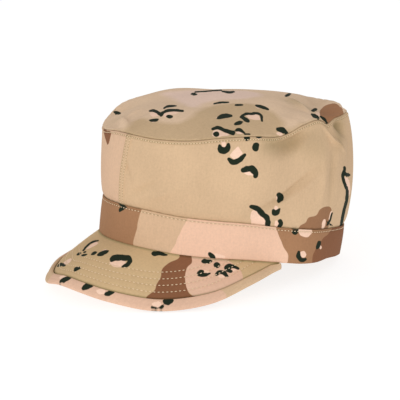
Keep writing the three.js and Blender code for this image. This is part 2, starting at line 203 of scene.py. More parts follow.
# Soft folds: long rounded ridges and valleys. rise is 0 at the band and 1 at the top seam; long and
# wide are shares of seamHeight, depth of foldDepth with out positive, slant in degrees from level.
sideFolds = {
    "columns": ("turn", "rise", "slant", "long", "wide", "depth"),
    "rows": [
        (86, 0.885, 6, 0.22, 0.065, -1.15),
        (78, 0.95, 4, 0.14, 0.04, -0.5),
        (93, 0.84, 35, 0.1, 0.05, 0.5),
        (81, 0.37, 29, 0.36, 0.03, -0.55),
        (85, 0.34, 29, 0.34, 0.03, 0.45),
        (90, 0.42, 31, 0.2, 0.022, -0.28),
        (76, 0.22, 27, 0.2, 0.025, -0.22),
        (104, 0.45, 84, 0.22, 0.04, 0.3),
        (112, 0.45, 84, 0.22, 0.045, -0.35),
        (124, 0.4, 86, 0.22, 0.06, 0.25),
        (114.5, 0.84, -38, 0.17, 0.018, 0.75),
        (122, 0.93, -40, 0.14, 0.05, -1.1),
        (112, 0.62, 72, 0.17, 0.05, -0.25),
        (130, 0.7, 70, 0.17, 0.05, -0.2),
        (4, 0.52, -62, 0.11, 0.016, -0.2),
        (14, 0.3, 38, 0.14, 0.03, -0.2),
        (22, 0.26, 36, 0.14, 0.035, 0.2),
        (40, 0.5, 80, 0.2, 0.05, -0.12),
        (-70, 0.5, 70, 0.25, 0.1, -0.35),
        (-115, 0.55, 80, 0.25, 0.1, -0.35),
        (-150, 0.5, 85, 0.3, 0.1, 0.3),
        (168, 0.6, 80, 0.25, 0.08, -0.4),
    ],
}

topFolds = {
    "columns": ("x", "y", "slant", "long", "wide", "depth"),
    "rows": [
        (-0.05, -0.93, -30, 0.2, 0.036, 0.95),
        (-0.26, -0.92, -30, 0.15, 0.06, -0.5),
        (-0.23, -0.73, 99, 0.1, 0.022, 0.4),
        (-0.1, -0.76, 99, 0.12, 0.05, -0.35),
        (-0.78, -0.56, 50, 0.26, 0.16, -1.0),
        (-0.62, -0.12, 50, 0.32, 0.16, 0.7),
        (0.62, 0.3, -13, 0.26, 0.026, 0.6),
        (0.54, 0.54, -24, 0.34, 0.12, -1.2),
        (0.22, 0.8, -40, 0.24, 0.09, -1.3),
        (0.72, 0.74, -48, 0.16, 0.08, 0.8),
        (0.72, 0.1, -60, 0.2, 0.08, -0.35),
        (-0.4, 0.3, 20, 0.45, 0.16, -0.1),
        (0.2, -0.35, 10, 0.4, 0.15, -0.25),
    ],
}


def foldsAt(table, offsets):  # offsets gives how far right of a fold's middle the points are, and above
    total = 0.0
    for *middle, slant, long, wide, depth in table["rows"]:
        right, up = offsets(*middle)
        cos, sin = math.cos(math.radians(slant)), math.sin(math.radians(slant))
        along = (right * cos + up * sin) / (long * capSizes["seamHeight"])
        across = (up * cos - right * sin) / (wide * capSizes["seamHeight"])
        total = total + depth * capSizes["foldDepth"] * np.exp(-2 * (along**2 + across**2))
    return total


# The arc of one degree of turn, on average.
degreeLength = math.radians(1) * (capSizes["headLength"] + capSizes["headWidth"]) / 4


def sideFoldAt(turn, rise):
    lines = linesAt(turn)
    tall = lines["seamUp"] - lines["bandUp"]

    def offsets(foldTurn, foldRise):
        away = np.mod(turn - foldTurn + 180, 360) - 180
        return away * degreeLength, (rise - foldRise) * tall

    fade = np.clip(rise * 6, 0, 1) * np.clip((1 - rise) * 12, 0, 1)
    return foldsAt(sideFolds, offsets) * fade


def leanedTurn(turn, height):  # the centre seam leans to the wearer's left as it climbs
    lines = linesAt(turn)
    reach = np.maximum(0, 1 - np.abs(turn) / 90)
    climb = np.clip((height - lines["bandUp"]) / (lines["seamUp"] - lines["bandUp"]), 0, 1)
    return turn + (capSizes["seamTurn"] + capSizes["seamLean"] * climb**1.2) * reach


arcTurns = np.arange(-180.0, 181.0)
arcX, arcY = planAt(arcTurns)[:2]
arcSteps = np.hypot(np.diff(arcX), np.diff(arcY))
arcLengths = np.concatenate([[0], np.cumsum(arcSteps)]) - arcSteps[:180].sum()


def arcAt(turn):  # distance round the cap from the front, towards the wearer's left
    return np.interp(turn, arcTurns, arcLengths)


def turnAt(arc):
    return np.interp(arc, arcLengths, arcTurns)


# Painted shade of fold hollows and facets, in millimetres on the flat cloth: middle, reach both ways and
# depth.
paintedFoldShades = {
    "crownSide": [
        (117, 110, 12, 7, 0.36),
        (138, 106, 13, 7, 0.2),
        (158, 104, 13, 13, 0.22),
        (194, 113, 9, 8, 0.42),
        (187, 104, 6, 7, 0.25),
    ],
    "crownTop": [(47, 32, 16, 6, 0.5), (-30, -81, 8, 5, 0.16)],
}


# how much painted fold shade a point of the flat cloth takes
def paintedFoldShadeAt(name, x, y):
    return sum(depth * np.exp(-(((x - atX) / wide) ** 2) - ((y - atY) / tall) ** 2)
               for atX, atY, wide, tall, depth in paintedFoldShades[name])


# Side panels: the grid is denser along the centre seam and the top seam. Lengths are in millimetres.
sideDetail = {
    "columns": 370,
    "rows": 118,
    "centreGap": 0.15,
    "centreShare": 0.12,
    "centreReach": 10.0,
    "tuckShare": 0.05,
    "topShare": 0.86,
    "topReach": 0.955,
    "seamDrop": 1.0,
    "topRow": 3.0,
    "hemRise": 0.4,
    "rowDip": 0.35,
    "rowWidth": 0.8,
    "seamRoll": 1.5,
    "rollHeight": 1.2,
    "behindBand": 1.15,
    "felledRise": 0.6,
    "felledRows": (1.1, 4.3),
    "felledDip": 0.3,
    "pucker": 0.2,
    "puckerStep": 8.5,
    "puckerFades": (7, 6),  # below the top seam and above the band
    "unevenness": 0.35,
    "unevenSize": 17,
    # how deep and how wide the shade along each seam is
    "seamShades": {"topEdge": (0.2, 0.5), "topRow": (0.6, 0.7), "band": (0.55, 0.9), "centre": (0.35, 0.45)},
    "felledShade": 0.3,
    "foldShade": 0.05,
}


def crownSideAt(turn, rise):
    lines = linesAt(turn)
    behindBand = sideDetail["behindBand"]
    tall = lines["seamUp"] - lines["bandUp"]
    climb = np.clip(rise, 0, 1)
    swell = np.power(np.maximum(0, 4 * climb * (1 - climb)), 0.85)
    tucked = behindBand * np.maximum(0, 1 - climb * 10) ** 2
    out = mix(lines["bandOut"], lines["seamOut"], climb) + lines["bulge"] * swell - tucked
    fold = sideFoldAt(turn, climb)
    out = out + fold
    height = mix(lines["bandUp"], lines["seamUp"] - sideDetail["seamDrop"], rise)
    below = rise < 0
    height = np.where(below, lines["bandUp"] + rise * capSizes["tuckDepth"], height)
    bandShare = (height - lines["hemUp"]) / (lines["bandUp"] - lines["hemUp"])
    out = np.where(below, mix(lines["hemOut"], lines["bandOut"], bandShare) - behindBand, out)
    # the seam allowance under the top row of stitches, the row's dip and the rolled edge
    down = (1 - rise) * tall
    arc = arcAt(turn)
    row = sideDetail["topRow"] - sideDetail["seamDrop"]
    out = out + sideDetail["hemRise"] * smoothStep(row + 0.8, row - 0.2, down)
    out = out - sideDetail["rowDip"] * groove(down - row, sideDetail["rowWidth"])
    out = out - sideDetail["seamRoll"] * np.clip(1 - down / sideDetail["rollHeight"], 0, 1) ** 2
    # puckers that the top seam and the band draw into the cloth
    pull = np.sin(arc * 2 * math.pi / sideDetail["puckerStep"] + 2.2 * wobble(arc, down, 23, 3))
    topFade, bandFade = sideDetail["puckerFades"]
    nearSeams = np.exp(-down / topFade) + 0.7 * np.exp(-np.abs(rise * tall) / bandFade)
    out = out + sideDetail["pucker"] * pull * nearSeams * np.where(below, 0, 1)
    middle = smoothStep(0, 0.2, climb) * smoothStep(1, 0.85, climb)
    out = out + sideDetail["unevenness"] * wobble(arc, height, sideDetail["unevenSize"], 5) * middle
    # the felled strip on the left panel, sewn down along two rows
    felled = capSizes["felledWidth"]
    strip = smoothStep(-0.01, 0.01, arc) * smoothStep(felled + 0.5, felled - 0.1, arc)
    rows = sum(groove(arc - felledRow, 0.6) for felledRow in sideDetail["felledRows"])
    raised = sideDetail["felledRise"] * strip - sideDetail["felledDip"] * rows
    out = out + raised * np.where(below, 0.5, 1) * smoothStep(0, 0.6, down)
    # painted shade along the seams, in the felled rows, in fold hollows and on shaded facets
    seams = {"topEdge": down, "topRow": down - row, "band": rise * tall, "centre": arc}
    shades = sideDetail["seamShades"]
    creaseShade = sum(shades[name][0] * groove(away, shades[name][1]) for name, away in seams.items())
    creaseShade = creaseShade + sideDetail["felledShade"] * rows * (arc > 0) + paintedFoldShadeAt("crownSide", arc, height)
    return out, height, np.clip(creaseShade + sideDetail["foldShade"] * np.clip(-fold, 0, 5), 0, 1)


def placeOnCrown(turn, out, height):
    return placeOnPlan(leanedTurn(turn, height), out, height)


# The solids' plan was centred on their box; the band's box says where that put the plan's middle.
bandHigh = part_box("band")[1]
backTurn = np.array([180.0])
backReach = placeOnPlan(backTurn, linesAt(backTurn)["bandOut"], np.array([0.0]))[0, 1]
planOffset = np.array([0.0, bandHigh.y - backReach * mm, 0.0])
print("shape tables read, plan moved by", [round(v / mm, 3) for v in planOffset])


def meshFrom(bm, name):
    mesh = bpy.data.meshes.new(name)
    bm.to_mesh(mesh)
    bm.free()
    return mesh


def addObject(name, data):
    obj = bpy.data.objects.new(name, data)
    bpy.context.scene.collection.objects.link(obj)
    return obj


mapUnit = 100  # millimetres of cloth to one unit of its UV map


def clothGrid(name, columns, rows, place, merge=0.0, caps=False):
    # a flat grid, 0 to 1 both ways, laid onto the shape by place(u, v), which gives its points, its
    # place on the flat cloth, all in millimetres, and the painted shade each point takes in creases and
    # seams
    bm = bmesh.new()
    bmesh.ops.create_grid(bm, x_segments=columns, y_segments=rows, size=0.5)
    mesh = meshFrom(bm, name)
    flat = np.empty(len(mesh.vertices) * 3)
    mesh.vertices.foreach_get("co", flat)
    u, v = flat.reshape(-1, 3)[:, 0] + 0.5, flat.reshape(-1, 3)[:, 1] + 0.5
    points, cloth, creaseShade = place(u, v)
    mesh.vertices.foreach_set("co", (points * mm + planOffset).ravel())
    corners = np.empty(len(mesh.loops), int)
    mesh.loops.foreach_get("vertex_index", corners)
    uvLayer = mesh.uv_layers.new(name="cloth")
    uvLayer.data.foreach_set("uv", (cloth[corners] / mapUnit).ravel())
    for axis, values in zip(("clothX", "clothY", "creaseShade"), (*cloth.T, creaseShade)):
        mesh.attributes.new(axis, "FLOAT", "POINT").data.foreach_set("value", values)
    mesh.polygons.foreach_set("use_smooth", np.ones(len(mesh.polygons), bool))
    if merge or caps:
        bm = bmesh.new()
        bm.from_mesh(mesh)
        if merge:
            bmesh.ops.remove_doubles(bm, verts=bm.verts, dist=merge * mm)
        if caps:
            openEdges = [edge for edge in bm.edges if edge.is_boundary]
            bmesh.ops.holes_fill(bm, edges=openEdges)
        bm.to_mesh(mesh)
        bm.free()
    return addObject(name, mesh)


def thicken(obj, wall):
    solid = obj.modifiers.new("wall", "SOLIDIFY")
    solid.thickness = wall * mm
    solid.offset = -1
    solid.use_even_offset = False
    solid.material_offset = 1
    solid.material_offset_rim = 0


def banded(share, marks):  # reads a row of (share, value) marks as a straight-sided curve
    shares, values = zip(*marks)
    return np.interp(share, shares, values)


halfRound = arcLengths[-1]  # from the front to the back


def sideRise(v):
    marks = ((0, -1), (sideDetail["tuckShare"], 0), (sideDetail["topShare"], sideDetail["topReach"]), (1, 1))
    return banded(v, marks)


def sidePlace(arc, v):
    turn, rise = turnAt(arc), sideRise(v)
    out, height, creaseShade = crownSideAt(turn, rise)
    cloth = np.stack([arc, height], axis=-1)
    return placeOnCrown(turn, out, height), cloth, creaseShade


def leftSide(u, v):
    gap, reach = sideDetail["centreGap"], sideDetail["centreReach"]
    arc = banded(u, ((0, gap), (sideDetail["centreShare"], reach), (1, halfRound - gap)))
    return sidePlace(arc, v)


def rightSide(u, v):
    gap = sideDetail["centreGap"]
    return sidePlace(banded(u, ((0, gap - halfRound), (1, -gap))), v)


sideLines = (sideDetail["columns"], sideDetail["rows"])
crownSideLeft = clothGrid("crownSideLeft", *sideLines, leftSide)
crownSideRight = clothGrid("crownSideRight", *sideLines, rightSide)
for side in (crownSideLeft, crownSideRight):
    thicken(side, capSizes["cloth"])
print("crown sides made")

# Top panel: a square grid drawn out to a disc, with its rim rolled down into the seam.
topDetail = {
    "columns": 216,
    "rimLines": 9,
    "rimReach": 3.4,
    "rollRadius": 0.6,
    "rollLength": 1.7,
    "rollDegrees": 150,
    "inset": 0.15,
    "pucker": 0.28,
    "puckerStep": 9.5,
    "unevenness": 0.35,
}


def topFoldAt(x, y, share):
    def offsets(foldX, foldY):
        return x - foldX * capSizes["headWidth"] / 2, y - foldY * capSizes["headLength"] / 2

    return foldsAt(topFolds, offsets) * np.clip((1 - share) * 12, 0, 1)


def topHeight(share, rimUp):
    dome = capSizes["domeRise"] * (1 - np.power(share, 2.4))
    return capSizes["seamHeight"] + dome + (rimUp - capSizes["seamHeight"]) * np.power(share, 4)


def topPlace(u, v):
    half = topDetail["columns"] / 2
    rimShare = topDetail["rimLines"] / half
    nearRim = topDetail["rimReach"] / (capSizes["headWidth"] / 2)
    marks = ((0, 0), (1 - rimShare, 1 - nearRim), (1, 1))
    gx, gy = 2 * u - 1, 2 * v - 1
    gx, gy = np.sign(gx) * banded(np.abs(gx), marks), np.sign(gy) * banded(np.abs(gy), marks)
    diskX, diskY = gx * np.sqrt(1 - gy**2 / 2), gy * np.sqrt(1 - gx**2 / 2)
    share = np.minimum(1, np.hypot(diskX, diskY))
    turn = np.degrees(np.arctan2(diskX, -diskY))
    lines = linesAt(turn)
    rim = placeOnCrown(turn, lines["seamOut"] - topDetail["inset"], lines["seamUp"])
    reach = np.hypot(rim[:, 0], rim[:, 1])
    inward = (1 - share) * reach
    radius, length = topDetail["rollRadius"], topDetail["rollLength"]
    flat = np.clip((inward - length) * (reach - radius) / (reach - length), 0, None)
    angle = np.radians(topDetail["rollDegrees"]) * np.clip(1 - inward / length, 0, 1)
    across = reach - radius - flat + radius * np.sin(angle)
    newShare = np.maximum(0, across / reach)
    x, y = rim[:, 0] * newShare, rim[:, 1] * newShare
    fold = topFoldAt(x, y, np.minimum(newShare, 1))
    z = topHeight(np.minimum(newShare, 1), rim[:, 2]) + fold - radius * (1 - np.cos(angle))
    arc = arcAt(turn)
    pull = np.sin(arc * 2 * math.pi / topDetail["puckerStep"] + 2 * wobble(x, y, 21, 7))
    z = z + topDetail["pucker"] * pull * np.exp(-inward / 8) * smoothStep(0, 3, inward)
    z = z + topDetail["unevenness"] * wobble(x, y, 19, 2) * smoothStep(2, 20, inward)
    # painted shade in the rolled rim, in fold hollows and behind the fold ridges
    creaseShade = 0.28 * smoothStep(length, 0.6, inward) + 0.02 * np.clip(-fold, 0, 6)
    creaseShade = creaseShade + paintedFoldShadeAt("crownTop", x, y)
    return np.stack([x, y, z], axis=-1), np.stack([x, y], axis=-1), np.clip(creaseShade, 0, 1)


crownTop = clothGrid("crownTop", topDetail["columns"], topDetail["columns"], topPlace)
thicken(crownTop, capSizes["cloth"])
print("crown top made")

# Band: a closed section carried round the head. It is thin where the crown's cloth tucks in.
bandDetail = {
    "columns": 700,
    "rows": 66,
    "edgeRadius": 0.5,
    "topWall": 1.0,
    "tuckReach": 8.0,
    "fullness": 0.35,
    "topRow": 1.9,
    "rowDip": 0.3,
    "rowWidth": 0.7,
    "unevenness": 0.3,
    "jointDip": 0.5,
}


def bandSwell(arc, up, below):  # how far the sewn face stands out of the straight band
    uneven = bandDetail["fullness"] + bandDetail["unevenness"] * wobble(arc, below, 15, 11)
    row = groove(below - bandDetail["topRow"], bandDetail["rowWidth"])
    return uneven * 4 * up * (1 - up) - bandDetail["rowDip"] * row


def bandPlace(u, v):
    turn = -180 + 360 * u
    lines = linesAt(turn)
    arc = arcAt(turn)
    tall = lines["bandUp"] - lines["hemUp"]
    # outside going up for the first half, inside going down for the second
    edge = bandDetail["edgeRadius"] * 2 / capSizes["bandHeight"]
    upMarks = ((0, 0), (0.06, edge), (0.52, 1 - edge * 0.6), (0.58, 1), (0.64, 1), (0.7, 1 - edge),
               (0.94, edge), (1, 0))
    inMarks = ((0, 0.5), (0.05, 0), (0.56, 0), (0.59, 0.35), (0.62, 0.65), (0.66, 1), (0.95, 1), (1, 0.5))
    goingUp, inside = banded(v, upMarks), banded(v, inMarks)
    below = (1 - goingUp) * tall
    full = smoothStep(bandDetail["tuckReach"] - 1, bandDetail["tuckReach"] + 1.5, below)
    wall = mix(bandDetail["topWall"], capSizes["bandThickness"], full)
    face = np.clip(1 - inside * 3, 0, 1)
    joint = halfRound - np.abs(arc)
    swell = bandSwell(arc, goingUp, below) - bandDetail["jointDip"] * groove(joint, 0.6)
    out = mix(lines["hemOut"], lines["bandOut"], goingUp) - inside * wall + swell * face
    height = mix(lines["hemUp"], lines["bandUp"], goingUp)
    cloth = np.stack([arc, goingUp * tall + np.maximum(0, 2 * inside - 1) * 60], axis=-1)
    # painted shade along the stitched row, at the top edge, at the hem and in the back joint
    creaseShade = 0.6 * groove(below - bandDetail["topRow"], 0.4) + 0.3 * groove(below, 0.5)
    creaseShade = creaseShade + 0.4 * groove(goingUp * tall, 0.7) + 0.8 * groove(joint, 0.5)
    return placeOnPlan(turn, out, height), cloth, np.clip(creaseShade * face, 0, 1)


band = clothGrid("headBand", bandDetail["columns"], bandDetail["rows"], bandPlace, merge=0.002)
print("band made")

# Bill: its outer edge as shares of half its width, its length and the front's lift. The quilting rows
# lie so far inside that edge.
billSizes = {
    "length": 59.5,
    "width": 188.0,
    "thickness": 4.0,
    "cover": 1.1,
    "camber": 2.0,
    "attachTurn": 78.0,
    "columns": 430,
    "rows": 84,
    "quiltRows": (13.0, 18.8, 24.4, 30.5),
    "rowDip": 0.28,
    "rowWidth": 0.9,
    "unevenness": 0.25,
    "seamDip": 0.7,
    "seamWidth": 0.9,
    "underColumns": 360,
    "underRows": 90,
    "lipWidth": 6.5,
    "lipFullness": 0.5,
    # where wear has made the lip wider and fuller, on stations from -1 to 1
    "cornerLip": {"station": -0.36, "reach": 0.17, "wider": 3.2, "swellReach": 0.19, "swell": 2.4},
    "edge": ((0.0, 0.95, 0.5), (0.22, 0.895, 0.41), (0.42, 0.74, 0.265), (0.71, 0.335, 0.085),
             (0.935, -0.2, 0.17), (0.995, -0.75, 0.41)),
    # how far wear has bent the edge's points, from the wearer's right to the left
    "bends": ((0.0, 0.0, 0.0), (2.2, 0.8, 0.0), (2.4, 1.6, 1.6), (1.4, 2.2, -0.6), (0.0, 1.0, -3.0),
              (0.0, 0.6, -2.2), (0.0, 0.0, -0.4), (0.0, 0.0, 0.6), (-0.5, 0.3, 1.2), (-2.0, 0.6, 1.6),
              (-2.5, 0.5, 1.6)),
}


def smoothThrough(points, samples=60):  # a centripetal curve through the points
    points = np.vstack([2 * points[0] - points[1], points, 2 * points[-1] - points[-2]])
    steps = np.sqrt(np.linalg.norm(np.diff(points, axis=0), axis=1))
    t = np.linspace(0, 1, samples, endpoint=False)[:, None]
    pieces = []
    for i in range(1, len(points) - 2):
        before, here, there, after = points[i - 1 : i + 3]
        leave = (here - before) / steps[i - 1] - (there - before) / (steps[i - 1] + steps[i])
        leave = (leave + (there - here) / steps[i]) * steps[i]
        arrive = (there - here) / steps[i] - (after - here) / (steps[i] + steps[i + 1])
        arrive = (arrive + (after - there) / steps[i + 1]) * steps[i]
        ease = 3 * t**2 - 2 * t**3
        pieces.append(mix(here, there, ease) + leave * (t**3 - 2 * t**2 + t) + arrive * (t**3 - t**2))
    return np.vstack([*pieces, points[-2:-1]])


def billEdgePoints():
    front, lift = -capSizes["headLength"] / 2, capSizes["frontLift"]
    halfWidth, length = billSizes["width"] / 2, billSizes["length"]
    half = [(across * halfWidth, front - forward * length, up * lift)
            for across, forward, up in billSizes["edge"]]
    turn = np.array([billSizes["attachTurn"]])
    lines = linesAt(turn)
    gap = capSizes["sewnGap"]
    corner = placeOnPlan(turn, lines["hemOut"] + gap + billSizes["thickness"] / 2, lines["hemUp"] - gap)[0]
    left = [*half[1:], tuple(corner)]
    right = [(-x, y, z) for x, y, z in reversed(left)]
    bends = [(0, 0, 0), *billSizes["bends"], (0, 0, 0)]
    return smoothThrough(np.array([*right, half[0], *left]) + np.array(bends))


billEdge = billEdgePoints()
billEdgeRun = np.concatenate([[0], np.cumsum(np.linalg.norm(np.diff(billEdge, axis=0), axis=1))])
billEdgeRun = billEdgeRun / billEdgeRun[-1]


def ribAt(station):  # from the band's hem straight out to the edge; station is -1 to 1
    turn = station * billSizes["attachTurn"]
    lines = linesAt(turn)
    start = placeOnPlan(turn, lines["hemOut"], lines["hemUp"] - capSizes["sewnGap"])
    along = (station + 1) / 2
    end = np.stack([np.interp(along, billEdgeRun, billEdge[:, i]) for i in range(3)], axis=-1)
    run = end[:, :2] - start[:, :2]
    reach = np.hypot(run[:, 0], run[:, 1])
    return start, end, reach, run / reach[:, None]


def placeOnBill(station, distance, over):
    start, end, reach, direction = ribAt(station)
    share = np.clip(distance / reach, 0, 1)
    camber = billSizes["camber"] * 4 * share * (1 - share) * np.minimum(1, reach / billSizes["length"])
    height = mix(start[:, 2], end[:, 2], share) + camber + over
    flat = start[:, :2] + direction * distance[:, None]
    return np.column_stack([flat, np.maximum(0, height)])


def toBillEdge(points):  # distance of each point to the bill's outer edge
    nearest = np.full(len(points), np.inf)
    for point in billEdge[::4]:
        nearest = np.minimum(nearest, np.linalg.norm(points - point, axis=1))
    return nearest


def lipWidthAt(reach, station):
    corner = billSizes["cornerLip"]
    wider = corner["wider"] * groove(station - corner["station"], corner["reach"])
    return np.minimum(billSizes["lipWidth"] + wider, 0.75 * reach)


def quilting(points):  # how far the top cover rises and dips, and the shade in its rows
    inside = toBillEdge(points)
    total = billSizes["unevenness"] * wobble(points[:, 0], points[:, 1], 14, 4)
    creaseShade = np.zeros(len(points))
    for row in billSizes["quiltRows"]:
        total = total - billSizes["rowDip"] * groove(inside - row, billSizes["rowWidth"])
        creaseShade = creaseShade + 0.16 * groove(inside - row, 0.45)
    return total, creaseShade


def billTopPlace(u, v):
    station = 2 * u - 1
    reach = ribAt(station)[2]
    seam = reach - lipWidthAt(reach, station)
    distance = mix(seam, -1.6, v)
    flat = placeOnBill(station, distance, np.zeros_like(distance))
    quilted, creaseShade = quilting(flat)
    over = quilted - billSizes["seamDip"] * groove(seam - distance, billSizes["seamWidth"])
    over = over + 0.7 * smoothStep(1.2, -0.4, distance)
    # painted shade in the quilting rows, along the lip's seam and where the cover meets the band
    creaseShade = np.clip(creaseShade + 0.85 * groove(seam - distance, 0.8) + 0.7 * groove(distance, 1.0), 0, 1)
    return placeOnBill(station, distance, over), flat[:, :2], creaseShade


billTop = clothGrid("billTop", billSizes["columns"], billSizes["rows"], billTopPlace)
thicken(billTop, billSizes["cover"])


def billUnderPlace(u, v):
    station = 2 * u - 1
    reach = ribAt(station)[2]
    lip = lipWidthAt(reach, station)
    seam = reach - lip + capSizes["sewnGap"]
    thick = billSizes["thickness"]
    bend = np.minimum(thick / 2, lip / 3)
    step = -(billSizes["cover"] + capSizes["sewnGap"])
    stage = banded(v, ((0, 0), (0.34, 1), (0.5, 2), (0.68, 3), (0.72, 4), (0.97, 5), (1, 6)))
    angle = np.radians(-90 + 180 * np.clip(stage - 1, 0, 1))
    lipShare = np.clip(stage - 2, 0, 1)
    under = mix(-capSizes["bandThickness"], reach - bend, np.clip(stage, 0, 1))
    distance = under + bend * np.cos(angle) * (stage > 1) * (stage <= 2)
    distance = np.where(stage > 2, mix(reach - bend, seam, lipShare), distance)
    distance = np.where(stage > 4, mix(seam, -capSizes["bandThickness"], np.clip(stage - 4, 0, 1)), distance)
    over = np.where(stage <= 1, -thick, thick / 2 * (np.sin(angle) - 1))
    corner = billSizes["cornerLip"]
    swell = corner["swell"] * groove(station - corner["station"], corner["swellReach"])
    lipRise = (billSizes["lipFullness"] + swell) * np.sin(lipShare * math.pi) ** 0.7 - 0.5 * lipShare**6
    over = np.where((stage > 2) & (stage <= 3), lipRise, over)
    over = np.where(stage > 3, mix(-0.5, step, np.clip(stage - 3, 0, 1)), over)
    over = np.where(stage > 5, mix(step, -thick, np.clip(stage - 5, 0, 1)), over)
    points = placeOnBill(station, distance, over)
    cloth = points[:, :2] + np.stack([np.zeros_like(stage), np.where(stage < 1, -200, 0)], axis=-1)
    # painted shade where the lip turns in to its seam
    creaseShade = 0.8 * smoothStep(0.9, 0.99, lipShare) * (stage > 2)
    return points, cloth, creaseShade


underLines = (billSizes["underColumns"], billSizes["underRows"])
billUnder = clothGrid("billUnder", *underLines, billUnderPlace, merge=0.002, caps=True)
print("bill made")

# The camera, and the photograph's frame of 400 by 400 pixels that it fills.
photoView = {"turn": 50.0, "rise": 13.0, "distance": 1100.0, "pixelsPerMm": 1.29, "frame": 400,
             "target": (-12.31, -14.67, 51.28)}


def lookingFrom(turn, rise):
    turn, rise = math.radians(turn), math.radians(rise)
    return Vector((math.sin(turn) * math.cos(rise), -math.cos(turn) * math.cos(rise), math.sin(rise)))


target = Vector(photoView["target"]) * mm + Vector(planOffset)
viewBack = lookingFrom(photoView["turn"], photoView["rise"])
viewRight = Vector((0, 0, 1)).cross(viewBack).normalized()
viewUp = viewBack.cross(viewRight)
viewPoint = target + viewBack * photoView["distance"] * mm


def photoRay(x, y):  # direction from the camera through one of the photograph's pixels
    middle = photoView["frame"] / 2
    across, up = (x - middle) / photoView["pixelsPerMm"], (middle - y) / photoView["pixelsPerMm"]
    return (viewRight * across + viewUp * up - viewBack * photoView["distance"]).normalized()
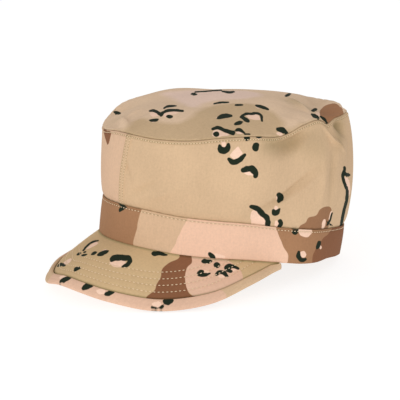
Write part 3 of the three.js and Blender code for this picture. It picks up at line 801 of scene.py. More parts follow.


# The printed camouflage, for each piece and kind of shape. Each row of a chart is a stroke or a patch
# that the photograph shows, read in its pixels. A stroke has half its width at its start, middle
# and end, and the points of its middle line; a patch has only the points of its outline.
printKinds = ("pink", "tan", "brown", "umber", "pale", "chip")
strokeCharts = {
    ("crownTop", "chip"): [
        ((0.6, 1.4, 0.8), (114.2, 112.2), (119.8, 113.4)),
        ((0.6, 1.2, 1.5), (149.4, 110.8), (154.3, 110.8), (158.5, 113), (161, 115)),
        ((1.5, 1.1, 0.7), (161, 115), (163.5, 112.4), (168, 110.6), (175, 110.2), (183.4, 111)),
        ((0.5, 0.9, 0.5), (163.9, 108.3), (167.6, 106.4), (175.9, 105.8)),
        ((0.8, 1.5, 0.8), (167.2, 116.6), (171.8, 116.6)),
        ((0.5, 1.2, 0.5), (149.6, 120.2), (154.5, 120.3), (158.3, 119.4)),
        ((0.7, 1, 0.5), (191.8, 94), (196.5, 94.3)),
        ((0.4, 0.45, 0.4), (195, 92), (205.7, 91.3), (214, 90.6), (221.5, 90.2)),
        ((0.4, 0.9, 0.5), (222, 91.3), (230, 92.4), (234.2, 91.7)),
        ((0.35, 0.7, 0.4), (213.6, 103.9), (219.7, 102.6), (228.7, 102.3)),
        ((0.4, 0.8, 0.4), (234.8, 105), (242.7, 104.9)),
        ((0.5, 1.2, 0.8), (255.4, 105.3), (262, 107), (268, 109.3)),
        ((0.4, 1.9, 0.7), (217, 118.8), (223.5, 116), (231.8, 115.9)),
        ((0.9, 1, 0.8), (240.8, 117), (245, 114.2), (252, 113.6), (257.5, 113.4), (261, 115.4),
         (262, 121)),
        ((1.1, 1.7, 0.9), (241.5, 116.6), (246, 119.8), (248.7, 121.3)),
        ((0.5, 1.6, 0.6), (234.4, 124.3), (238.5, 123), (242.3, 122.3)),
        ((1, 1.4, 1.9), (212.6, 129.2), (217.9, 127.5), (223.3, 129.8), (233, 133.2)),
        ((2, 2.5, 2), (215.8, 134), (216.8, 134.4)),
        ((0.5, 1.4, 0.8), (234.8, 130.4), (239, 129.8), (243.9, 132.6)),
        ((0.4, 0.6, 0.4), (244.5, 134.2), (250, 134.2)),
        ((1.5, 2.3, 1.5), (277.9, 129.2), (282.4, 130), (286.2, 133.6)),
        ((0.5, 1.1, 0.5), (285.4, 96.2), (290.4, 93.8)),
        ((0.8, 1.3, 0.7), (312.2, 110.8), (316.4, 109.2)),
        ((0.9, 1.6, 0.8), (312.2, 114.7), (318.7, 118.2)),
        ((0.7, 1.1, 0.8), (320.7, 116.5), (324.3, 119.5), (327, 123)),
    ],
    ("crownSideLeft", "chip"): [
        ((1.1, 2.9, 1.2), (219.4, 145.8), (220.9, 149.8), (223.9, 150.6), (226.9, 149.2), (228.4, 144.3)),
        ((1.6, 2.3, 1.3), (229, 159.3), (233, 162.3), (239, 160.6), (244.6, 154.8)),
        ((2, 3, 2), (256.2, 144.6), (255.3, 149.2)),
        ((1.8, 2.5, 1.8), (242.6, 170.2), (247.5, 168.8), (251.9, 168.4), (255.4, 172), (255.8, 176.2)),
        ((1.4, 2.2, 1.4), (251.6, 169.6), (254.8, 173.4)),
        ((1.6, 2.3, 1.9), (251.2, 206.6), (258.4, 209.2), (262, 214), (267, 217.7), (268, 227)),
        ((2.3, 2.5, 1.3), (279, 195), (281, 197.7), (278.6, 201.5)),
        ((1.3, 2.2, 0.8), (273.5, 210.6), (275.4, 213.4), (279.4, 209.4)),
        ((1.8, 1.8, 1.4), (279.8, 221.3), (280.8, 223.1), (279.2, 227)),
        ((1.6, 2.4, 1.6), (246.6, 137), (247.2, 138.6)),
        ((0.4, 0.8, 0.4), (256.3, 137.2), (261.4, 137.4)),
        ((0.4, 0.7, 0.4), (332.2, 212.8), (329.3, 221.5), (327, 225.5)),
        ((0.3, 0.6, 0.4), (326.4, 221), (329.1, 223.7), (332, 225.5)),
        ((1.1, 1.15, 1.3), (344.6, 167.6), (343.7, 172.8), (342.6, 175.4), (344.3, 182.5), (347.2, 191),
         (346.7, 199.5)),
        ((1.15, 1.15, 1), (346.6, 200.7), (344.3, 209.2), (341.8, 221.3), (341, 227)),
        ((1.3, 1.6, 0.9), (343.2, 173.4), (346.4, 174.6), (349.2, 175)),
    ],
    ("crownSideLeft", "pale"): [
        ((0.9, 1.3, 0.8), (324.3, 220.4), (323.1, 227.5)),
        ((0.5, 0.9, 0.6), (331.4, 212), (330.4, 217), (329.8, 220.4)),
    ],
    ("headBand", "chip"): [
        ((0.6, 1, 0.5), (119.9, 204.8), (126.3, 207.2)),
        ((0.7, 1.5, 1), (119.8, 211.2), (121.2, 209), (124, 208)),
        ((0.6, 0.9, 0.5), (292.6, 228.9), (298.4, 228.6)),
        ((0.8, 1.6, 0.7), (292.9, 231.6), (295.4, 232.8), (297.4, 230.6)),
        ((1.2, 1.8, 1.1), (298.8, 252), (298.2, 256), (301.4, 259.8), (305.3, 259.3)),
        ((1.3, 1.7, 0.8), (319.4, 242.3), (317.2, 248.3)),
        ((1.7, 1.7, 0.7), (209.9, 253.8), (212.2, 256.2), (214.4, 259.6)),
    ],
    ("headBand", "pale"): [
        ((0.7, 0.9, 0.7), (320.4, 246.6), (320.6, 247.8)),
        ((1.7, 2.3, 1.8), (303, 253.2), (303.4, 255.4)),
    ],
    ("billTop", "chip"): [
        ((0.5, 0.75, 0.6), (98, 240.4), (93.6, 241.6), (89.4, 244), (86, 247), (83.4, 250.5)),
        ((0.5, 0.9, 0.4), (77.4, 254.8), (80.7, 252.8)),
        ((0.4, 0.8, 0.4), (81.2, 255.8), (86.6, 254.2)),
        ((0.4, 0.6, 0.4), (84, 252.4), (85.6, 251.6)),
        ((0.7, 1.3, 0.5), (92, 254.2), (96.4, 252.2)),
        ((1.1, 1.8, 0.4), (98.7, 254.7), (102.9, 253.1), (108.2, 250.6)),
        ((1, 2.5, 2.3), (111, 261), (113.9, 258), (121.3, 257.6), (128.6, 258)),
        ((2.3, 1.9, 0.5), (128.6, 258), (130, 260), (127.6, 264.2), (122, 266.9)),
        ((0.6, 1.4, 0.9), (57.9, 266), (61.1, 264.6), (64.4, 265.2)),
        ((0.8, 1.6, 0.5), (74.4, 270.2), (76.9, 268.6), (80.1, 267.9)),
        ((2.2, 1.7, 0.4), (154.2, 253.6), (158.4, 253.4), (167, 254.8)),
        ((1.3, 1.9, 0.8), (202.8, 261.2), (205.8, 261.6), (211, 261.2)),
        ((2.2, 2.6, 2.2), (216.6, 264.8), (217.2, 265.2)),
        ((1.2, 2.2, 1.6), (198.2, 274.2), (200.6, 272.6), (202.2, 271.4)),
        ((1.2, 1.5, 0.8), (199, 275.2), (203.8, 275.2), (209.6, 273.4)),
        ((2.2, 2.7, 2.2), (226.6, 267.8), (229.6, 266.4)),
        ((2, 1.3, 0.7), (230, 266.2), (234.5, 267), (238.2, 268.6)),
        ((1.2, 1.5, 1.2), (227.4, 270.4), (230.8, 271.4)),
        ((1.3, 1.6, 1.4), (216.4, 274.4), (219.7, 272.2), (224.1, 272.8), (226.6, 275.8)),
    ],
    ("billUnder", "chip"): [
        ((0.9, 1.9, 0.5), (60.4, 281.8), (64.9, 279.6), (71, 277.5)),
        ((1.2, 2.6, 0.8), (83.2, 288.3), (87.7, 286), (92.8, 284.8)),
        ((1.1, 2, 0.5), (105.8, 294.4), (109.4, 293), (114.6, 291.4)),
        ((0.9, 1.5, 1.3), (151.9, 307.2), (157.1, 309.2), (162.4, 306.6)),
        ((0.7, 2.5, 0.9), (163.8, 300.6), (168.5, 302.2), (172.6, 300.4)),
    ],
}
patchCharts = {
    ("crownTop", "pink"): [
        ((162, 93.5), (174, 99), (186, 105.5), (196, 107), (206, 102.5), (222, 100), (246, 98.5),
         (262, 95), (252, 91.6), (215, 90.4), (186, 90.4)),
    ],
    ("crownTop", "pale"): [
        ((149.6, 113), (155.6, 112.6), (158.4, 115.4), (152.4, 116.6)),
        ((163.4, 114.8), (168, 112.2), (178.6, 112), (176.4, 113.8), (169.4, 114.9), (165.4, 117.2)),
        ((215.6, 118), (219.8, 116), (222.6, 115.6), (220.4, 118)),
        ((246, 115.6), (257.6, 114.6), (260.4, 119.4), (253, 119.6), (248.4, 118)),
        ((213, 131.4), (217.6, 129.4), (223.4, 132.2), (229.6, 135), (222, 136.4), (212.8, 136)),
        ((235.6, 132.2), (239.6, 131.6), (243, 133.8), (237, 133.6)),
        ((276.2, 132.8), (281, 132.6), (282.4, 134.8), (277.2, 135)),
        ((315.4, 112.6), (319, 111.8), (319.8, 116.4), (316.4, 114.4)),
        ((255.4, 106.8), (260, 107.8), (258.2, 108.4)),
        ((150, 121.2), (157, 121.4), (153, 122.2)),
    ],
    ("crownTop", "umber"): [
        ((320.8, 117.2), (319.6, 112.8), (321.4, 108.4), (327.9, 104.4), (335.2, 103.6), (341.4, 108.4),
         (344, 113), (338, 119.6), (327, 125)),
    ],
    ("crownTop", "tan"): [
        ((124, 129), (132, 122.4), (141, 118.4), (152, 120.4), (162, 122.4), (174, 123.4), (184, 121.4),
         (191, 117), (199, 110.6), (207, 107.4), (220, 104.4), (238, 103.4), (252, 104), (264, 107.6),
         (277.6, 115.4), (283, 122), (284, 128), (292, 128), (302, 123.4), (313, 122), (322, 120),
         (326, 126), (300, 134), (280, 140), (240, 140), (200, 144), (160, 146), (130, 141), (114, 134)),
    ],
    ("crownSideLeft", "pale"): [
        ((221.8, 142.2), (225.8, 142.2), (225.2, 147.4), (222.8, 147.4)),
        ((230, 155.6), (233.6, 150.8), (237.8, 146.8), (240.4, 149.6), (242.2, 153.6), (236.4, 159.6)),
        ((243, 172.4), (249.8, 170.8), (254, 175.6), (249, 175.2)),
        ((251.2, 211.6), (257.4, 210), (262.2, 217), (266.4, 222), (267, 228), (254, 228)),
        ((276, 196.6), (278.8, 196.4), (279, 199.8), (276.4, 199.8)),
        ((275, 205.4), (277.6, 206.6), (277.2, 211.6), (274.6, 210.6)),
        ((275.4, 220.4), (278.6, 222), (277.8, 228), (275, 227)),
        ((344.2, 177.4), (348, 178.4), (350.4, 188.4), (349, 196), (346, 185)),
        ((256.8, 138.2), (260.8, 138.2), (259, 139.6)),
    ],
    ("crownSideLeft", "umber"): [
        ((299, 229), (300.6, 226), (305.6, 222.2), (308.2, 217.6), (316.4, 214.6), (319.4, 209.4),
         (326.1, 206.2), (330.2, 208.4), (331, 212.6), (329.4, 218.4), (327, 229)),
    ],
    ("crownSideRight", "umber"): [
        ((103.8, 129), (107.4, 130.6), (110.8, 132), (109.8, 138), (107.6, 145), (105.4, 139)),
    ],
    ("headBand", "pale"): [
        ((298.4, 228.4), (311, 228.6), (311.8, 232.6), (307.2, 237.2), (301, 235.6), (298.2, 231.6)),
        ((213.8, 254.4), (219, 253.8), (225, 256.4), (223.4, 260.4), (215.6, 260.2)),
    ],
    ("billTop", "pale"): [
        ((96.6, 241.8), (98, 243.4), (92.4, 247), (85.8, 249.4), (90.6, 244.8)),
        ((101, 251.6), (106, 249.2), (105.4, 251.6), (102.4, 252.8)),
        ((109.4, 262.6), (114.6, 259.8), (124.4, 260.6), (125.8, 264), (120.4, 267.4), (113.6, 266.6)),
        ((63.2, 263.4), (67.8, 259.4), (71.6, 258.4), (70.8, 261.2), (65.6, 264.6)),
        ((204, 270.4), (207, 270.8), (209.8, 272.4), (205.6, 273.6)),
        ((229.4, 269.6), (234.4, 268.8), (236.4, 269.8), (232.4, 271.4)),
        ((218.2, 275.6), (223.6, 274.6), (224.2, 277.2), (219, 277.4)),
    ],
    ("billTop", "umber"): [
        ((180, 254), (179.6, 257), (168, 263.2), (162.6, 269.8), (161, 277.4), (157.2, 284.6), (155, 291),
         (146, 298), (150, 303), (190, 303), (200, 298.4), (189.6, 292.4), (184.8, 285), (184.2, 277.4),
         (186.6, 269.8), (190.8, 263.4), (191.2, 254)),
    ],
    ("billTop", "pink"): [
        ((188, 254), (188, 263.4), (182, 277.4), (184, 288), (192, 296), (200, 302), (220, 302),
         (236, 288), (243, 279), (241, 272), (232, 263), (222, 256)),
    ],
    ("billUnder", "pale"): [
        ((59.6, 277), (63, 275.4), (67, 275.8), (64.6, 278.2), (60.4, 279.4)),
        ((96.4, 290.4), (101, 289), (105, 290.4), (104.6, 293.6), (97.4, 293.6)),
        ((151.8, 303.6), (156, 301.8), (160.6, 302.6), (161.4, 306.2), (156.4, 307.8)),
    ],
}


# Large fields and the sides that the photograph doesn't show, in millimetres on the flat cloth:
# round the band and the side panels from the front, or across the plan of the top and the bill.
fieldCharts = {
    ("headBand", "brown"): [
        ((-78, -5), (-70, 12), (-82, 34), (19.5, 34), (19, 26), (17.5, 18), (16, 11), (14.5, 4),
         (14, -5)),
        ((124, 34), (126, 24), (130, 14), (135, 6), (134, -5), (242, -5), (250, 12), (240, 34)),
        ((-262, -5), (-250, 10), (-255, 34), (-206, 34), (-198, 20), (-210, 8), (-204, -5)),
    ],
    # the dark umber at the band's back-left bend is partly its dye and partly painted shade of the bend
    ("headBand", "umber"): [
        ((196, 34), (189, 23), (177, 19), (167, 14), (161.5, 9), (161, -5), (226, -5), (233, 12),
         (222, 34)),
    ],
    ("headBand", "pink"): [
        ((58, 34), (57, 27), (53, 21), (48, 9), (45, -5), (134, -5), (135, 6), (130, 14), (126, 24),
         (124, 34)),
        ((-150, 34), (-140, 20), (-156, 8), (-150, -5), (-96, -5), (-90, 12), (-102, 34)),
    ],
    ("billTop", "brown"): [
        ((-95, -40), (-96, -90), (-80, -118), (-60, -138), (-44, -146), (-40, -140), (-54, -130),
         (-67, -112), (-75, -90), (-79, -66), (-80, -40)),
    ],
    ("crownSideRight", "brown"): [
        ((-122, 20), (-130, 50), (-118, 72), (-132, 94), (-126, 130), (-160, 130), (-170, 106),
         (-160, 84), (-176, 62), (-168, 20)),
        ((-262, 20), (-268, 40), (-252, 56), (-262, 78), (-298, 84), (-298, 20)),
    ],
    ("crownSideRight", "umber"): [
        ((-138, 20), (-146, 46), (-136, 66), (-146, 86), (-156, 80), (-152, 58), (-162, 40), (-158, 20)),
    ],
    ("crownSideRight", "pink"): [
        ((-206, 130), (-198, 108), (-216, 88), (-208, 66), (-224, 44), (-220, 20), (-178, 20), (-186, 48),
         (-172, 74), (-182, 98), (-174, 130)),
    ],
    ("crownSideLeft", "brown"): [
        ((254, 20), (258, 46), (250, 62), (264, 78), (298, 80), (298, 20)),
    ],
    ("crownSideLeft", "umber"): [
        ((270, 20), (274, 40), (266, 54), (280, 66), (298, 64), (298, 20)),
    ],
    ("crownSideLeft", "pink"): [
        ((252, 130), (248, 114), (260, 104), (276, 108), (298, 98), (298, 130)),
    ],
    ("billUnder", "pink"): [
        ((-14, -175), (-18, -154), (-8, -130), (40, -110), (66, -92), (78, -80), (88, -76), (100, -80),
         (100, -150), (60, -190), (20, -195)),
        ((-110, -60), (-80, -66), (-62, -100), (-66, -150), (-110, -150)),
        ((-40, -352), (-10, -356), (30, -346), (40, -320), (10, -306), (-30, -318)),
    ],
    ("billUnder", "umber"): [
        ((46, -318), (62, -326), (80, -300), (78, -276), (60, -270), (50, -290)),
    ],
    ("billUnder", "brown"): [
        ((-84, -312), (-66, -330), (-52, -316), (-60, -292), (-76, -284)),
    ],
}

# Small groups of chips for the sides that the photograph doesn't show, in millimetres round each
# group's middle, and where each one lies: piece, group, x, y, degrees turned, flipped or not.
chipGroups = (
    {
        "chip": [
            ((0.9, 2.2, 0.9), (-14.4, 8.7), (-13.3, 5.6), (-10.9, 5), (-8.6, 6), (-7.4, 9.8)),
            ((1.2, 1.8, 1), (-7, -1.8), (-3.9, -4.1), (0.8, -2.8), (5.1, 1.7)),
            ((1.6, 2.3, 1.6), (14.1, 9.6), (13.4, 6)),
            ((1.3, 1.7, 1.2), (3.6, -10.4), (7.4, -9.1), (10.6, -8.2), (14, -11.3), (14.3, -15)),
        ],
        "pale": [
            ((-12.6, 11.5), (-9.5, 11.5), (-9.9, 7.4), (-11.8, 7.4)),
            ((-6.2, 1.1), (-3.4, 4.8), (-0.2, 7.9), (1.9, 5.7), (3.3, 2.6), (-1.2, -2)),
            ((3.9, -11.9), (9.1, -10.7), (12.4, -14.4), (8.5, -14.1)),
        ],
    },
    {
        "chip": [
            ((1.2, 1.8, 1.5), (-11.5, 4.2), (-5.9, 2.2), (-3.1, -1.6), (0.8, -4.4), (1.6, -11.6)),
            ((1.8, 1.9, 1), (10.1, 13.2), (11.6, 11.1), (9.8, 8.1)),
            ((1, 1.7, 0.6), (5.8, 1.1), (7.3, -1.1), (10.4, 2)),
            ((1.4, 1.4, 1.1), (10.7, -7.2), (11.5, -8.6), (10.2, -11.6)),
        ],
        "pale": [
            ((-11.5, 0.3), (-6.7, 1.6), (-2.9, -3.9), (0.3, -7.8), (0.8, -11.4), (-8.3, -10.4)),
            ((7, 5.1), (9, 4.2), (8.7, 0.3), (6.7, 1.1)),
        ],
    },
    {
        "chip": [
            ((1, 1.5, 0.9), (-4, 4), (-4.4, 0), (-2, -3), (1.5, -2.6)),
            ((1, 1.3, 0.6), (7, 6), (8.4, 2.2)),
        ],
        "pale": [((-3, 3), (1, 3.4), (1.4, 0), (-2, -1.4))],
    },
)
chipPlaces = {
    "columns": ("piece", "group", "x", "y", "degrees", "flipped"),
    "rows": [
        ("crownSideRight", 0, -84, 98, 15, 0),
        ("crownSideRight", 1, -98, 60, -20, 1),
        ("crownSideRight", 2, -66, 70, 40, 0),
        ("crownSideRight", 1, -150, 104, 60, 0),
        ("crownSideRight", 0, -194, 72, -70, 0),
        ("crownSideRight", 2, -172, 48, 10, 1),
        ("crownSideRight", 1, -232, 98, 160, 1),
        ("crownSideRight", 0, -246, 52, 95, 1),
        ("crownSideRight", 2, -276, 102, -30, 0),
        ("crownSideLeft", 0, 268, 90, 190, 0),
        ("crownSideLeft", 1, 266, 50, 30, 1),
        ("headBand", 2, -118, 12, 0, 0),
        ("headBand", 2, -176, 14, 100, 1),
        ("headBand", 2, -214, 10, -60, 0),
        ("headBand", 2, -268, 14, 25, 1),
        ("headBand", 2, 262, 13, -10, 0),
        ("billUnder", 0, -40, -296, 30, 0),
        ("billUnder", 1, 4, -334, -20, 0),
        ("billUnder", 2, 44, -300, 15, 1),
        ("billUnder", 1, -70, -270, 70, 1),
        ("billUnder", 0, 76, -256, -50, 0),
    ],
}


def smoothLine(points, samples=8):
    points = np.array(points, float)
    if len(points) < 3:
        return np.linspace(points[0], points[-1], samples + 1)
    return smoothThrough(points, samples)


strokeSpread = (1.15, 0.25)  # a stroke's half is this many times its charted one, and this much more


def strokeOutlines(halves, points):  # a brush stroke: discs along its line, and what joins them
    line = smoothLine(points, 4)
    run = np.linspace(0, 1, len(line))
    start, middle, end = halves
    marks = (start, mix(start, middle, 0.8), middle, mix(end, middle, 0.8), end)
    half = np.interp(run, (0, 0.2, 0.5, 0.8, 1), marks)[:, None] * strokeSpread[0] + strokeSpread[1]
    along = np.gradient(line, axis=0)
    along = along / np.linalg.norm(along, axis=1)[:, None]
    side = np.stack([-along[:, 1], along[:, 0]], axis=-1) * half
    around = np.radians(np.arange(0, 360, 36))[:, None]
    discs = [at + reach * np.hstack([np.cos(around), np.sin(around)]) for at, reach in zip(line, half)]
    left, right = line + side, line - side
    joins = [np.array([left[i], left[i + 1], right[i + 1], right[i]]) for i in range(len(line) - 1)]
    return discs + joins


def patchOutline(points):  # a closed smooth outline through the points
    points = np.array(points, float)
    looped = np.vstack([points[-2:], points, points[:3]])
    line = smoothThrough(looped, 5)
    return line[2 * 5 : -2 * 5]


farOutside = 50.0  # the distance that stands where no shape of a kind is near
grazing = 0.03  # faces turned less than this to the camera take no mark from the photograph
unevenPrint = ((0.7, 2.6), (0.3, 1.0))  # how far and how finely the edges of fields and chips waver
softPrint = {("crownTop", "tan"): 0.06, ("crownTop", "pink"): 0.05}  # less than 1 where an edge is blurred


class PrintedCloth:  # one piece's print: how far each of its points lies outside each kind of shape
    def __init__(self, piece):
        mesh = piece.data
        self.piece = piece
        self.cloth = np.empty((len(mesh.vertices), 2))
        for i, name in enumerate(("clothX", "clothY")):
            values = np.empty(len(mesh.vertices))
            mesh.attributes[name].data.foreach_get("value", values)
            self.cloth[:, i] = values
        self.corners = [vert.co.copy() for vert in mesh.vertices]
        self.faces = [tuple(face.vertices) for face in mesh.polygons]
        self.tree = BVHTree.FromPolygons(self.corners, self.faces)
        self.fields = {}
        plan = self.piece.name in ("crownTop", "billTop", "billUnder")
        self.farthest = -1 if plan else -0.02  # keeps off the inside of the far wall
        self.seenPixels, self.seenCloth = self.facingPoints()
        across, down = ((viewRight.x, viewRight.y), (viewBack.x, viewBack.y)) if plan else ((1, 0), (0, -1))
        self.beside = np.array((across, down)) / photoView["pixelsPerMm"]

    def facingPoints(self):  # where the camera sees the points whose outside is turned to it
        mesh = self.piece.data
        points, normals = np.empty(len(mesh.vertices) * 3), np.empty(len(mesh.vertices) * 3)
        mesh.vertices.foreach_get("co", points)
        mesh.vertices.foreach_get("normal", normals)
        points = points.reshape(-1, 3)
        away = points - np.array(viewPoint)
        facing = (normals.reshape(-1, 3) * away).sum(axis=1) < -grazing * np.linalg.norm(away, axis=1)
        facing &= (points - planOffset) @ np.array(viewBack) > self.farthest
        away = away[facing]
        scale = photoView["pixelsPerMm"] * photoView["distance"] / (away @ -np.array(viewBack))
        middle = photoView["frame"] / 2
        right, up = away @ np.array(viewRight) * scale, away @ np.array(viewUp) * scale
        return np.column_stack([middle + right, middle - up]), self.cloth[facing]

    def under(self, x, y):  # the place on the flat cloth that a pixel of the photograph shows
        ray = photoRay(x, y)
        hit, normal, face, _ = self.tree.ray_cast(viewPoint, ray)
        missed = hit is None or normal.dot(ray) > -grazing
        if missed or (hit - Vector(planOffset)).dot(viewBack) < self.farthest:
            away = np.array((x, y)) - self.seenPixels
            nearest = np.argmin((away * away).sum(axis=1))
            return self.seenCloth[nearest] + away[nearest] @ self.beside
        corners = self.faces[face]
        weights = poly_3d_calc([self.corners[i] for i in corners], hit)
        return np.array(weights) @ self.cloth[list(corners)]

    def paint(self, kind, outline):
        field = self.fields.setdefault(kind, np.full(len(self.cloth), farOutside))
        margin = 3.0
        low, high = outline.min(axis=0) - margin, outline.max(axis=0) + margin
        near = np.flatnonzero(((self.cloth > low) & (self.cloth < high)).all(axis=1))
        points = self.cloth[near]
        nearest = np.full(len(near), np.inf)
        inside = np.zeros(len(near), bool)
        for start, end in zip(outline, np.roll(outline, -1, axis=0)):
            edge = end - start
            share = np.clip((points - start) @ edge / max(edge @ edge, 1e-9), 0, 1)
            away = points - start - share[:, None] * edge
            nearest = np.minimum(nearest, np.hypot(away[:, 0], away[:, 1]))
            crosses = (start[1] > points[:, 1]) != (end[1] > points[:, 1])
            if crosses.any():
                level = start[0] + (points[:, 1] - start[1]) / (edge[1] or 1e-9) * edge[0]
                inside ^= crosses & (points[:, 0] < level)
        field[near] = np.minimum(field[near], np.where(inside, -nearest, nearest))

    def paintFromPhoto(self, kind, outline):
        self.paint(kind, np.array([self.under(x, y) for x, y in outline]))

    def finish(self):
        x, y = self.cloth.T
        for i, kind in enumerate(printKinds):
            reach, size = unevenPrint[kind in ("pale", "chip")]
            field = self.fields.get(kind, np.full(len(x), farOutside)) + reach * wobble(x, y, size, i)
            field = field * softPrint.get((self.piece.name, kind), 1)
            self.piece.data.attributes.new(kind, "FLOAT", "POINT").data.foreach_set("value", field)


pieces = {piece.name: piece for piece in (crownTop, crownSideLeft, crownSideRight, band, billTop, billUnder)}
prints = {name: PrintedCloth(piece) for name, piece in pieces.items()}
for (name, kind), rows in strokeCharts.items():
    for halves, *points in rows:
        for outline in strokeOutlines(halves, points):
            prints[name].paintFromPhoto(kind, outline)
for (name, kind), rows in patchCharts.items():
    for points in rows:
        prints[name].paintFromPhoto(kind, patchOutline(points))
for (name, kind), rows in fieldCharts.items():
    for points in rows:
        prints[name].paint(kind, patchOutline(points))
for name, group, x, y, degrees, flipped in chipPlaces["rows"]:
    turned, mirror = math.radians(degrees), 1 - 2 * flipped
    axes = np.array([[math.cos(turned), math.sin(turned)], [-math.sin(turned), math.cos(turned)]])
    for halves, *points in chipGroups[group]["chip"]:
        for outline in strokeOutlines(halves, points):
            prints[name].paint("chip", outline * (mirror, 1) @ axes + (x, y))
    for points in chipGroups[group]["pale"]:
        prints[name].paint("pale", patchOutline(points) * (mirror, 1) @ axes + (x, y))
for cloth in prints.values():
    cloth.finish()
print("print charted")

# Thread: one short rounded stitch after another along each sewn row.
thread = {
    "pitch": 3.0,
    "finePitch": 2.15,
    "share": 0.62,
    "width": 0.74,
    "height": 0.54,
    "lift": 0.1,
    "sides": 6,
    "rings": 4,
}


def sewRow(bm, line, outward, pitch=thread["pitch"]):
    line, outward = np.asarray(line), np.asarray(outward)
    run = np.concatenate([[0], np.cumsum(np.linalg.norm(np.diff(line, axis=0), axis=1))])
    count = int(run[-1] / pitch)
    halfStitch = pitch * thread["share"] / 2
    sides, rings = thread["sides"], thread["rings"]
    for i in range(count):
        at = (i + 0.5) * run[-1] / count
        start, middle, end = (
            Vector([np.interp(at + shift, run, line[:, k]) for k in range(3)])
            for shift in (-halfStitch, 0, halfStitch)
        )
        along = (end - start).normalized()
        up = Vector([np.interp(at, run, outward[:, k]) for k in range(3)])
        across = along.cross(up).normalized()
        up = across.cross(along)
        centre = middle + up * thread["lift"]
        halves = (along * halfStitch, across * thread["width"] / 2, up * thread["height"] / 2)
        place = Matrix.Identity(4)
        for k in range(3):
            for axis, half in enumerate(halves):
                place[k][axis] = half[k] * mm
            place[k][3] = centre[k] * mm + planOffset[k]
        bmesh.ops.create_uvsphere(bm, u_segments=sides, v_segments=rings, radius=1, matrix=place)


def finishSewing(name, bm):
    for face in bm.faces:
        face.smooth = True
    bmesh.ops.recalc_face_normals(bm, faces=bm.faces)
    return addObject(name, meshFrom(bm, name))


nextStep = 0.4  # how far off the points are that give a surface's outward direction


def outwardOf(here, nextU, nextV):
    across = np.cross(nextU - here, nextV - here)
    return across / np.linalg.norm(across, axis=1)[:, None]


def sideLine(arc, rise):
    def at(a, r):
        turn = turnAt(a)
        return placeOnCrown(turn, *crownSideAt(turn, r)[:2])

    here = at(arc, rise)
    return here, outwardOf(here, at(arc + nextStep, rise), at(arc, rise + nextStep / 90))


sewing = bmesh.new()
for side in (-1, 1):
    arc = side * np.linspace(0.6, halfRound - 0.6, 900)
    lines = linesAt(turnAt(arc))
    rowRise = 1 - (sideDetail["topRow"] - sideDetail["seamDrop"]) / (lines["seamUp"] - lines["bandUp"])
    sewRow(sewing, *sideLine(arc, rowRise), thread["finePitch"])
rise = np.linspace(0.01, 0.975, 300)
for row in sideDetail["felledRows"]:
    sewRow(sewing, *sideLine(np.full_like(rise, row), rise), thread["finePitch"])
for side in (-1, 1):
    sewRow(sewing, *sideLine(np.full_like(rise, side * (halfRound - 2.2)), rise))
crownStitches = finishSewing("crownStitches", sewing)

sewing = bmesh.new()


def bandFace(arc, below):
    turn = turnAt(arc)
    lines = linesAt(turn)
    up = 1 - below / (lines["bandUp"] - lines["hemUp"])
    out = mix(lines["hemOut"], lines["bandOut"], up) + bandSwell(arc, up, below)
    return placeOnPlan(turn, out, mix(lines["hemUp"], lines["bandUp"], up))


arc = np.linspace(-halfRound + 1, halfRound - 1, 1800)
below = np.full_like(arc, bandDetail["topRow"])
here = bandFace(arc, below)
sewRow(sewing, here, outwardOf(here, bandFace(arc + nextStep, below), bandFace(arc, below - nextStep)))
bandStitches = finishSewing("bandStitches", sewing)

sewing = bmesh.new()


def billLine(inside):
    # where each rib is this far inside the outer edge
    stations = np.linspace(-0.985, 0.985, 260)
    tries = np.linspace(0, 1, 90)
    reach = ribAt(stations)[2]
    found, kept = [], []
    for station, length in zip(stations, reach):
        distance = tries * length
        flat = placeOnBill(np.full_like(distance, station), distance, np.zeros_like(distance))
        gap = toBillEdge(flat)
        if gap[0] < inside:
            continue
        found.append(np.interp(-inside, -gap, distance))
        kept.append(station)
    return np.array(kept), np.array(found)


def billFace(station, distance):
    flat = placeOnBill(station, distance, np.zeros_like(distance))
    return placeOnBill(station, distance, quilting(flat)[0])


for row in billSizes["quiltRows"]:
    station, distance = billLine(row)
    here = billFace(station, distance)
    nextAlong, nextIn = billFace(station + nextStep / 100, distance), billFace(station, distance - nextStep)
    sewRow(sewing, here, outwardOf(here, nextAlong, nextIn))
billStitches = finishSewing("billStitches", sewing)
print("stitches made")


# Materials: the dyes and grounds are screen colours, and the look of the cloth is one dictionary.
def colour(red, green, blue):  # from the usual 0 to 255 screen values
    def linear(value):
        value = value / 255
        return value / 12.92 if value <= 0.04045 else ((value + 0.055) / 1.055) ** 2.4

    return (linear(red), linear(green), linear(blue), 1)


def newGroup(name, inputs, outputs):
    group = bpy.data.node_groups.new(name, "ShaderNodeTree")
    for socket, kind, value in inputs:
        made = group.interface.new_socket(socket, in_out="INPUT", socket_type=kind)
        if value is not None:
            made.default_value = value
    for socket, kind in outputs:
        group.interface.new_socket(socket, in_out="OUTPUT", socket_type=kind)
    return group, group.nodes.new("NodeGroupInput"), group.nodes.new("NodeGroupOutput")


def mathNode(tree, operation, first, second=None, third=None):
    node = tree.nodes.new("ShaderNodeMath")
    node.operation = operation
    for socket, value in zip(node.inputs, (first, second, third)):
        if value is None:
            continue
        if isinstance(value, (int, float)):
            socket.default_value = value
        else:
            tree.links.new(value, socket)
    return node.outputs[0]


def mixColours(tree, share, first, second, blend="MIX"):
    node = tree.nodes.new("ShaderNodeMix")
    node.data_type = "RGBA"
    node.blend_type = blend
    sockets = {socket.identifier: socket for socket in node.inputs}
    for socket, value in (("Factor_Float", share), ("A_Color", first), ("B_Color", second)):
        if isinstance(value, (int, float, tuple)):
            sockets[socket].default_value = value
        else:
            tree.links.new(value, sockets[socket])
    return next(socket for socket in node.outputs if socket.identifier == "Result_Color")


